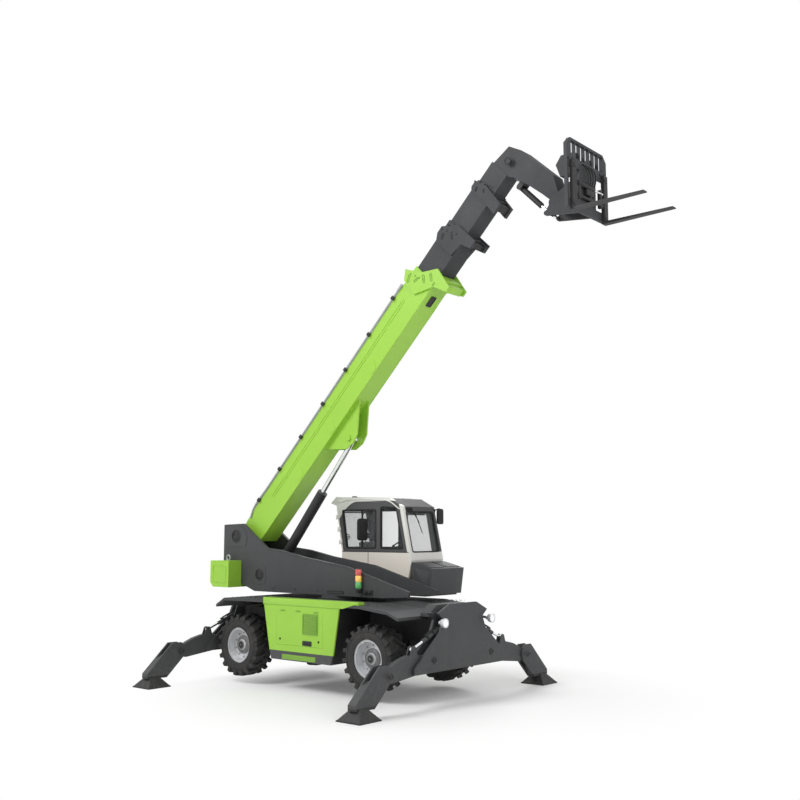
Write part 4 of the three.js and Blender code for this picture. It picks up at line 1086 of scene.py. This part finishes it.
def blownUp(name, bm):
    # swells the shell as cloth under pressure, holds back stray movement, then smooths it
    bmesh.ops.recalc_face_normals(bm, faces=bm.faces)
    mesh = bpy.data.meshes.new(name)
    bm.to_mesh(mesh)
    bm.free()
    piece = bpy.data.objects.new(name, mesh)
    bpy.context.scene.collection.objects.link(piece)
    bpy.context.view_layer.objects.active = piece
    remesh = piece.modifiers.new("remesh", "REMESH")
    remesh.mode = "VOXEL"
    remesh.voxel_size = seat["voxel"]
    bpy.ops.object.modifier_apply(modifier="remesh")
    before = [vert.co.copy() for vert in piece.data.vertices]
    cloth = piece.modifiers.new("cloth", "CLOTH").settings
    cloth.use_pressure = True
    cloth.uniform_pressure_force = seat["pressure"]
    cloth.effector_weights.gravity = 0
    cloth.quality = 4
    for step in range(1, 21):
        bpy.context.scene.frame_set(step)
    swollen = piece.evaluated_get(bpy.context.evaluated_depsgraph_get()).to_mesh()
    for vert, start, blown in zip(piece.data.vertices, before, swollen.vertices):
        move = blown.co - start
        vert.co = start + move * min(1, seat["swell"] / max(move.length, 1e-9))
    piece.modifiers.clear()
    bpy.context.scene.frame_set(1)
    smooth = piece.modifiers.new("smooth", "SUBSURF")
    smooth.levels = smooth.render_levels = 1
    piece.data.materials.append(looks["cloth"])
    piece.data.shade_smooth()
    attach(piece, "turret")
    return piece


def buildSeat():
    back, front, low, high = seat["cushion"]
    y, half = seat["middle"], seat["half"]
    base = slewFrame @ Matrix.Translation((0, y, 0))
    near, far = (back + 0.015, -half + 0.015, low + 0.012), (front - 0.015, half - 0.015, high - 0.025)
    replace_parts(blownUp("seatCushion", cushionShell(near, far, base, (-0.15, 0.15))), "seat")
    lean = Matrix.Rotation(-seat["lean"] - math.pi / 2, 4, "Y") @ Matrix.Rotation(math.pi, 4, "X")
    upright = base @ Matrix.Translation((back + 0.03, 0, high + 0.01)) @ lean
    tall = seat["tall"]
    near, far = (0.0, -half + 0.02, 0.0), (tall - 0.16, half - 0.02, 0.1)
    blownUp("seatBack", cushionShell(near, far, upright, (-0.14, 0.14)))
    near, far = (tall - 0.11, -0.13, 0.01), (tall + 0.015, 0.13, 0.085)
    blownUp("headRest", cushionShell(near, far, upright, ()))
    bm = bmesh.new()
    block(bm, (-0.16, y - 0.2, 1.745), (0.2, y + 0.2, 1.80), slewFrame)
    for step in range(5):  # the folded boot over the seat's spring
        z = 1.80 + 0.032 * step
        grow = 0.19 if step % 2 else 0.165
        block(bm, (0.02 - grow, y - grow, z), (0.02 + grow, y + grow, z + 0.032), slewFrame)
    block(bm, (-0.2, y - 0.22, 1.96), (0.24, y + 0.22, 2.055), slewFrame)
    block(bm, (0.0, -0.2, -0.03), (tall - 0.18, 0.2, -0.006), upright)
    for side in (-1, 1):
        rod(bm, (tall - 0.17, side * 0.06, 0.03), (tall - 0.09, side * 0.06, 0.04), 0.008, 10, place=upright)
        edge = y + side * half
        arm = rounded([(-0.14, 2.30), (0.18, 2.32), (0.18, 2.38), (-0.14, 2.37)], 0.025)
        plate(bm, arm, *sorted((edge + side * 0.012, edge + side * 0.075)), slewFrame)
        block(bm, (-0.15, edge + side * 0.005 - 0.01, 2.1), (-0.09, edge + side * 0.03 + 0.01, 2.32), slewFrame)
        stick = edge + side * 0.045
        rod(bm, (0.14, stick, 2.37), (0.16, stick, 2.49), 0.014, 12, place=slewFrame)
        grip = [(0, 0), (0.024, 0.01), (0.03, 0.05), (0.018, 0.09), (0, 0.095)]
        turned(bm, grip, (0.162, stick, 2.47), steps=16, place=slewFrame)
    finished("seatFrame", bm, "turret", "trim", bevel=0.006)


def buildInterior():
    # floor mat ribs and pedals, side console with its knobs, display, sun blind and column shroud
    y = seat["middle"]
    bm = bmesh.new()
    for step in range(9):
        x = 0.34 + 0.045 * step
        block(bm, (x, 0.55, 1.742), (x + 0.03, 0.69, 1.752), slewFrame)
        block(bm, (x, 1.16, 1.742), (x + 0.03, 1.32, 1.752), slewFrame)
    for side in (-0.12, 0.12):
        block(bm, (0.62, y + side - 0.04, 1.83), (0.66, y + side + 0.04, 1.93), slewFrame)
        rod(bm, (0.66, y + side, 1.87), (0.76, y + side, 1.84), 0.012, 10, place=slewFrame)
    finished("pedals", bm, "turret", "seal", bevel=0.003)
    bm = bmesh.new()
    desk = rounded([(-0.22, 1.95), (0.46, 1.95), (0.62, 2.16), (0.50, 2.27), (-0.22, 2.30)], 0.04)
    plate(bm, desk, 0.51, 0.625, slewFrame)
    finished("sideConsole", bm, "turret", "trim", bevel=0.008)
    bm = bmesh.new()
    for step in range(6):
        x = -0.1 + 0.085 * step
        rod(bm, (x, 0.565, 2.27), (x, 0.565, 2.305), 0.016, 12, place=slewFrame)
    finished("consoleKnobs", bm, "turret", "seal")
    bm = bmesh.new()
    tilt = slewFrame @ Matrix.Translation((0.93, 0.60, 2.50)) @ Matrix.Rotation(0.45, 4, "Z")
    block(bm, (-0.015, -0.085, -0.06), (0.012, 0.085, 0.06), tilt)
    rod(bm, (0.0, 0, -0.05), (0.03, 0.02, -0.19), 0.012, 10, place=tilt)
    finished("displayShell", bm, "turret", "seal", bevel=0.006)
    bm = bmesh.new()
    block(bm, (-0.0165, -0.074, -0.05), (-0.0145, 0.074, 0.05), tilt)
    finished("displayFace", bm, "turret", "mirror")
    bm = bmesh.new()
    rod(bm, (0.93, 0.58, 3.20), (0.93, 1.28, 3.20), 0.02, 16, place=slewFrame)
    block(bm, (0.925, 0.6, 3.13), (0.93, 1.26, 3.2), slewFrame)
    finished("sunBlind", bm, "turret", "trim")
    bm = bmesh.new()
    rod(bm, (0.76, y, 2.36), (0.66, y, 2.46), 0.05, 20, place=slewFrame)
    for side, reach in ((-1, 0.14), (1, 0.12)):
        rod(bm, (0.69, y + side * 0.04, 2.43), (0.67, y + side * reach, 2.46), 0.008, 8, place=slewFrame)
    finished("columnShroud", bm, "turret", "seal")


buildSeat()
buildInterior()
print("cab inside done")


# ---- chassis

headlamp = {"x": 2.79, "y": 0.665, "z": 1.33,
            "shell": [(0, 0), (0.04, 0), (0.066, 0.03), (0.078, 0.07),
                      (0.078, 0.105), (0.07, 0.105), (0.066, 0.09), (0, 0.075)],
            "lens": [(0, 0.074), (0.066, 0.088), (0.066, 0.1), (0.05, 0.11), (0.025, 0.116), (0, 0.117)]}
stabiliser = {
    # the turned profile of a pin's cap, as shares of its radius out and metres up
    "cap": [(0, 0), (1, 0), (1, 0.01), (0.86, 0.016), (0.4, 0.016), (0.34, 0.01), (0, 0.01)],
    "web": [(0.05, 0.02), (0.225, 0.02), (0.225, 0.034), (0.075, 0.185), (0.05, 0.185)],
    "collar": [(0.035, -0.012), (0.043, -0.012), (0.043, 0.012), (0.035, 0.012)],
    "kneeCap": 0.032,
}
underside = {"axle": 1.645, "ramInset": 0.17}


def buildHousingDetails():
    # a flange on the right housing, and a grille, catches, skirt plate and hinges on both
    bm = bmesh.new()
    block(bm, (-0.92, -1.201, 1.572), (1.46, -1.041, 1.622), slewFrame)
    lip = [(-0.92, 1.50), (1.10, 1.50), (1.46, 1.60), (1.46, 1.622), (-0.92, 1.622)]
    plate(bm, lip, -1.213, -1.201, slewFrame)
    finished("housingFlange", bm, "chassis", "lime", bevel=0.006)
    for side, name in ((-1, "right"), (1, "left")):
        face = side * 1.201  # of the housing's outer skin
        depth = {thick: skin(face, side * thick) for thick in (0.006, 0.008, 0.01, 0.012, 0.014)}
        body = "engine_door" if side < 0 else "chassis"
        bm = bmesh.new()
        for step in range(11):
            z = 1.035 + 0.0285 * step
            plate(bm, [(0.15, z), (0.47, z), (0.47, z + 0.02), (0.15, z + 0.02)], *depth[0.01], slewFrame)
        surround = panel(0.12, 1.01, 0.50, 1.37, 0.02)
        hoop(bm, surround, 0.016, *depth[0.012], slewFrame)
        finished(f"housingGrille_{name}", bm, body, "limeDeep")
        bm = bmesh.new()
        backing = panel(0.12, 0.815, 0.35, 0.90, 0.012)
        plate(bm, backing, *depth[0.008], slewFrame)
        near, far = depth[0.014]
        for x in (0.17, 0.235, 0.30):
            block(bm, (x - 0.02, near, 0.83), (x + 0.02, far, 0.885), slewFrame)
        for x in (-0.46, 0.52):
            nut(bm, slewFrame @ Vector((x, face, 0.90)), (0, side, 0), 0.03, 0.014)
        finished(f"housingCatches_{name}", bm, body, "soot", bevel=0.002)
        bm = bmesh.new()
        skirt = panel(-0.40, 0.548, 0.45, 0.635, 0.012)
        plate(bm, skirt, *depth[0.006], slewFrame)
        for x in (-0.37, 0.42):
            nut(bm, slewFrame @ Vector((x, face + side * 0.005, 0.59)), (0, side, 0), 0.018, 0.01)
        y = face + side * 0.004
        for x in (-0.40, 0.0, 0.45):
            rod(bm, (x - 0.05, y, 1.408), (x + 0.05, y, 1.408), 0.011, 12, place=slewFrame)
        finished(f"skirtPlate_{name}", bm, "chassis", "limeDeep", bevel=0.002)


def buildFrontLamps():
    # round headlights on brackets at both front corners, square tail lamps behind
    for side, name in ((-1, "right"), (1, "left")):
        x, y, z = headlamp["x"], side * headlamp["y"], headlamp["z"]
        bm = bmesh.new()
        turned(bm, headlamp["shell"], (x + 0.03, y, z), (1, 0, 0), 36, slewFrame)
        rod(bm, (x, y, z), (x + 0.035, y, z), 0.03, 16, place=slewFrame)
        finished(f"lampShell_{name}", bm, "chassis", "rim")
        bm = bmesh.new()
        turned(bm, headlamp["lens"], (x + 0.03, y, z), (1, 0, 0), 36, slewFrame)
        finished(f"lampLens_{name}", bm, "chassis", "head")
        bm = bmesh.new()
        bracket = [(2.74, side * 0.56, z + 0.02), (2.77, side * 0.62, z + 0.015), (2.80, y, z)]
        run(bm, bracket, 0.022, slewFrame)
        finished(f"lampBracket_{name}", bm, "chassis", "soot")
    for side, name in ((-1, "right"), (1, "left")):
        bm = bmesh.new()
        square = panel(side * 0.5 - 0.09, 1.2, side * 0.5 + 0.09, 1.28, 0.02)
        plate(bm, square, -2.60, -2.57, slewFrame, "X")
        finished(f"tailLamp_{name}", bm, "chassis", "red", bevel=0.006)


def buildBonnet():
    # the folded cover behind the front plate, the deck's tread rows, and the tow pin at the back
    bm = bmesh.new()
    fold = [(-0.60, 1.40), (0.60, 1.40), (0.60, 1.47), (0.40, 1.60), (-0.40, 1.60), (-0.60, 1.47)]
    plate(bm, fold, 2.33, 2.538, slewFrame, "X")
    finished("bonnet", bm, "chassis", "slate", bevel=0.012)
    bm = bmesh.new()
    for row in range(8):  # raised tread on the deck
        for lane in range(20):
            x, y = 1.30 + 0.1 * row, -1.10 + 0.1155 * lane
            turn = Matrix.Rotation(math.radians(45 if (row + lane) % 2 else -45), 4, "Z")
            if abs(y) > 0.45:
                for spot in (x, 0.1 - x):
                    place = slewFrame @ Matrix.Translation((spot, y, 1.57)) @ turn
                    block(bm, (-0.028, -0.006, 0), (0.028, 0.006, 0.004), place)
    finished("deckTread", bm, "chassis", "slate")
    bm = bmesh.new()
    x = -2.57
    for z in (0.72, 0.80):
        block(bm, (x - 0.09, -0.08, z - 0.012), (x, 0.08, z + 0.012), slewFrame)
    rod(bm, (x - 0.055, 0, 0.68), (x - 0.055, 0, 0.86), 0.018, 16, place=slewFrame)
    for y in (-0.34, -0.2, 0.2, 0.34):
        for z in (0.66, 1.2):
            nut(bm, slewFrame @ Vector((x, y, z)), (-1, 0, 0), 0.03, 0.016)
    finished("towPin", bm, "chassis", "soot", bevel=0.003)


def buildUnderside():
    # propshafts, steering rams and brake hoses, seen from below and through the arches
    bm = bmesh.new()
    rod(bm, (-1.5, 0, 0.80), (-0.35, 0, 0.84), 0.045, 20, place=slewFrame)
    rod(bm, (0.35, 0, 0.84), (1.5, 0, 0.80), 0.045, 20, place=slewFrame)
    for x in (-1.42, -0.42, 0.42, 1.42):
        z = 0.84 - (abs(x) - 0.35) * 0.035
        block(bm, (x - 0.05, -0.028, z - 0.075), (x + 0.05, 0.028, z + 0.075), slewFrame)
        block(bm, (x - 0.04, -0.075, z - 0.028), (x + 0.04, 0.075, z + 0.028), slewFrame)
    finished("propShafts", bm, "chassis", "zinc", bevel=0.004)
    bm = bmesh.new()
    for end in (-1, 1):
        x = end * (underside["axle"] - underside["ramInset"])
        rod(bm, (x, -0.30, 0.72), (x, 0.30, 0.72), 0.042, 22, place=slewFrame)
        rod(bm, (x, -0.46, 0.72), (x, 0.46, 0.72), 0.018, 14, place=slewFrame)
    finished("steerRams", bm, "chassis", "iron")
    bm = bmesh.new()
    for end in (-1, 1):
        for side in (-1, 1):
            x = end * underside["axle"]
            path = [(x - 0.1, side * 0.3, 1.0), (x - 0.12, side * 0.42, 0.9),
                    (x - 0.1, side * 0.52, 0.84), (x - 0.04, side * 0.58, 0.8)]
            run(bm, path, 0.01, slewFrame)
    finished("brakeHoses", bm, "chassis", "hose")


def pinCaps(joint, body, radius, side, faces):
    # a cap and its bolt on each face given as (x, outward direction)
    spot = Vector(joints[joint]["pos_m"])
    bm = bmesh.new()
    profile = [(share * radius, height) for share, height in stabiliser["cap"]]
    for face, way in faces:
        turned(bm, profile, (face, spot.y, spot.z), (way, 0, 0), 28)
        nut(bm, (face + way * 0.004, spot.y + side * radius * 1.35, spot.z), (way, 0, 0), 0.02, 0.012)
    finished(f"pinCap_{joint}", bm, body, "soot")


def buildStabiliserDetails():
    for corner, (fore, side) in corners.items():
        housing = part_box("front_stabiliser_box" if fore > 0 else "rear_stabiliser_box")
        outward = (housing[1].x, 1) if fore > 0 else (housing[0].x, -1)
        pinCaps(f"arm_{corner}", "chassis", 0.052, side, [outward])
        low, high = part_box(f"stabiliser_arm_{corner}")
        knee = [(low.x - stabiliser["kneeCap"], -1), (high.x + stabiliser["kneeCap"], 1)]
        pinCaps(f"leg_{corner}", f"stabiliser_leg_{corner}", 0.05, side, knee)
        # webs that tie the foot plate to its socket
        low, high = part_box(f"stabiliser_leg_{corner}")
        middle = Vector(((low.x + high.x) / 2, side * 2.5, 0))
        bm = bmesh.new()
        for turn in range(4):
            place = Matrix.Translation(middle) @ Matrix.Rotation(turn * math.pi / 2, 4, "Z")
            plate(bm, stabiliser["web"], -0.008, 0.008, place)
        for turn in range(8):
            angle = math.tau * (turn + 0.5) / 8
            out = Vector((0.215 * math.cos(angle), 0.215 * math.sin(angle), 0.021))
            nut(bm, middle + out, (0, 0, 1), 0.024, 0.013)
        finished(f"footWebs_{corner}", bm, f"stabiliser_leg_{corner}", "soot", bevel=0.002)
        # two pipes along the jack's barrel, held by rings
        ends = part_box(f"stabiliser_rod_{corner}")
        x = (ends[0].x + ends[1].x) / 2
        axis = Vector(joints[f"jack_rod_{corner}"]["axis"])
        start = Vector((x, side * 0.44, 1.262))
        across = axis.cross(Vector((1, 0, 0))).normalized()
        across = across if across.z > 0 else -across
        bm = bmesh.new()
        for lane in (-0.02, 0.02):
            shift = Vector((lane, 0, 0)) + across * 0.046
            path = [start + axis * reach + shift for reach in (0, 0.15, 0.42)]
            run(bm, path + [start + axis * 0.5 + shift * 0.8], 0.008)
        for step in (0.08, 0.3, 0.46):
            turned(bm, stabiliser["collar"], start + axis * step, axis, 24)
        finished(f"jackPipes_{corner}", bm, f"stabiliser_barrel_{corner}", "seal")


# ---- carriage

def buildCarriageDetails():
    # side-shift ram, its rails, valve, hoses and the fork stops, between the shanks
    bm = bmesh.new()
    face = 5.371  # of the carriage's front plate
    rod(bm, (face + 0.045, -0.40, 8.34), (face + 0.045, 0.12, 8.34), 0.036, 22, place=slewFrame)
    rod(bm, (face + 0.045, -0.40, 8.14), (face + 0.045, 0.40, 8.14), 0.024, 16, place=slewFrame)
    block(bm, (face, -0.14, 8.20), (face + 0.07, 0.10, 8.30), slewFrame)
    for y in (-0.34, 0.0, 0.34):
        block(bm, (face, y - 0.03, 8.09), (face + 0.06, y + 0.03, 8.40), slewFrame)
    finished("sideShift", bm, "carriage", "soot", bevel=0.005)
    bm = bmesh.new()
    rod(bm, (face + 0.045, 0.12, 8.34), (face + 0.045, 0.40, 8.34), 0.017, 16, place=slewFrame)
    finished("shiftRod", bm, "carriage", "chrome")
    bm = bmesh.new()
    for lane in range(4):
        y = -0.12 + 0.07 * lane
        path = [(face + 0.035, y, 8.30), (face + 0.09, y, 8.42),
                (face + 0.08, y * 1.3, 8.6), (face + 0.01, y * 1.2, 8.72)]
        run(bm, path, 0.012, slewFrame)
    finished("shiftHoses", bm, "carriage", "hose")
    bm = bmesh.new()
    for y in (-0.5, 0.5):  # hooks, stops and the fork pins
        for z in (8.60, 7.95):
            block(bm, (5.425, y - 0.045, z - 0.03), (5.438, y + 0.045, z + 0.03), slewFrame)
        rod(bm, (5.40, y, 8.66), (5.40, y, 8.71), 0.016, 12, place=slewFrame)
    for y in (-0.6, -0.42, 0.42, 0.6):
        nut(bm, slewFrame @ Vector((face, y, 8.70)), (1, 0, 0), 0.03, 0.018)
    finished("forkStops", bm, "carriage", "soot", bevel=0.003)


buildHousingDetails()
buildFrontLamps()
buildBonnet()
buildUnderside()
buildStabiliserDetails()
buildCarriageDetails()
print("chassis, stabilisers and carriage done")


# ---- floor, light and camera

stageSizes = {"floor": 90.0, "near": 2.6, "far": 5.2, "sky": 0.5,
              "lens": 44.8, "pitch": 7.5, "azimuth": 40.29, "eye": (11.335, -13.87, 2.83)}


def buildFloor():
    bm = bmesh.new()
    bmesh.ops.create_circle(bm, cap_ends=True, segments=96, radius=stageSizes["floor"])
    mesh = bpy.data.meshes.new("floor")
    bm.to_mesh(mesh)
    bm.free()
    floor = bpy.data.objects.new("floor", mesh)
    bpy.context.scene.collection.objects.link(floor)
    look = Look("paleFloor", colour=(0.96, 0.96, 0.96), rough=0.9)
    white = look.node("ShaderNodeEmission", None, {"Color": (1, 1, 1), "Strength": 1.0})
    away = look.node("ShaderNodeVectorMath", {"operation": "LENGTH"}, {0: look.place()}, 1)
    reach = {"Value": away, "From Min": stageSizes["near"], "From Max": stageSizes["far"], "To Min": 0.1}
    fade = look.node("ShaderNodeMapRange", {"interpolation_type": "SMOOTHSTEP"}, reach) * look.looked()
    diffuse = Value(look, look.shader.outputs[0])
    mixed = look.node("ShaderNodeMixShader", None, {0: fade, 1: diffuse, 2: white})
    look.join(look.tree.nodes["Material Output"].inputs[0], mixed)
    mesh.materials.append(look.material)


def buildWorld():
    world = bpy.data.worlds.new("studio")
    bpy.context.scene.world = world
    look = Look("studio", world)
    dim = look.node("ShaderNodeBackground", None, {"Color": (1, 1, 1), "Strength": stageSizes["sky"]})
    white = look.node("ShaderNodeBackground", None, {"Color": (1, 1, 1), "Strength": 1.0})
    mixed = look.node("ShaderNodeMixShader", None, {0: look.looked(), 1: dim, 2: white})
    look.join(look.tree.nodes["World Output"].inputs[0], mixed)


def lamp(name, spot, target, size, power):
    light = bpy.data.lights.new(name, "AREA")
    light.shape = "DISK"
    light.size = size
    light.energy = power
    holder = bpy.data.objects.new(name, light)
    holder.location = spot
    holder.rotation_euler = (Vector(target) - Vector(spot)).to_track_quat("-Z", "Y").to_euler()
    bpy.context.scene.collection.objects.link(holder)


def buildCamera():
    camera = bpy.data.cameras.new("camera")
    camera.lens = stageSizes["lens"]
    camera.clip_end = 300
    holder = bpy.data.objects.new("camera", camera)
    holder.location = stageSizes["eye"]
    holder.rotation_euler = (math.radians(90 + stageSizes["pitch"]), 0, math.radians(stageSizes["azimuth"]))
    bpy.context.scene.collection.objects.link(holder)
    bpy.context.scene.camera = holder


buildFloor()
buildWorld()
lamp("keyLight", (-6, -12, 16), (-1, 0, 2), 9, 1750)
lamp("fillLight", (14, -6, 9), (0, 0, 3), 10, 640)
lamp("backLight", (-8, 12, 12), (-1, 0, 4), 9, 800)
buildCamera()
bpy.context.scene.view_settings.view_transform = "Standard"

print("stage set")
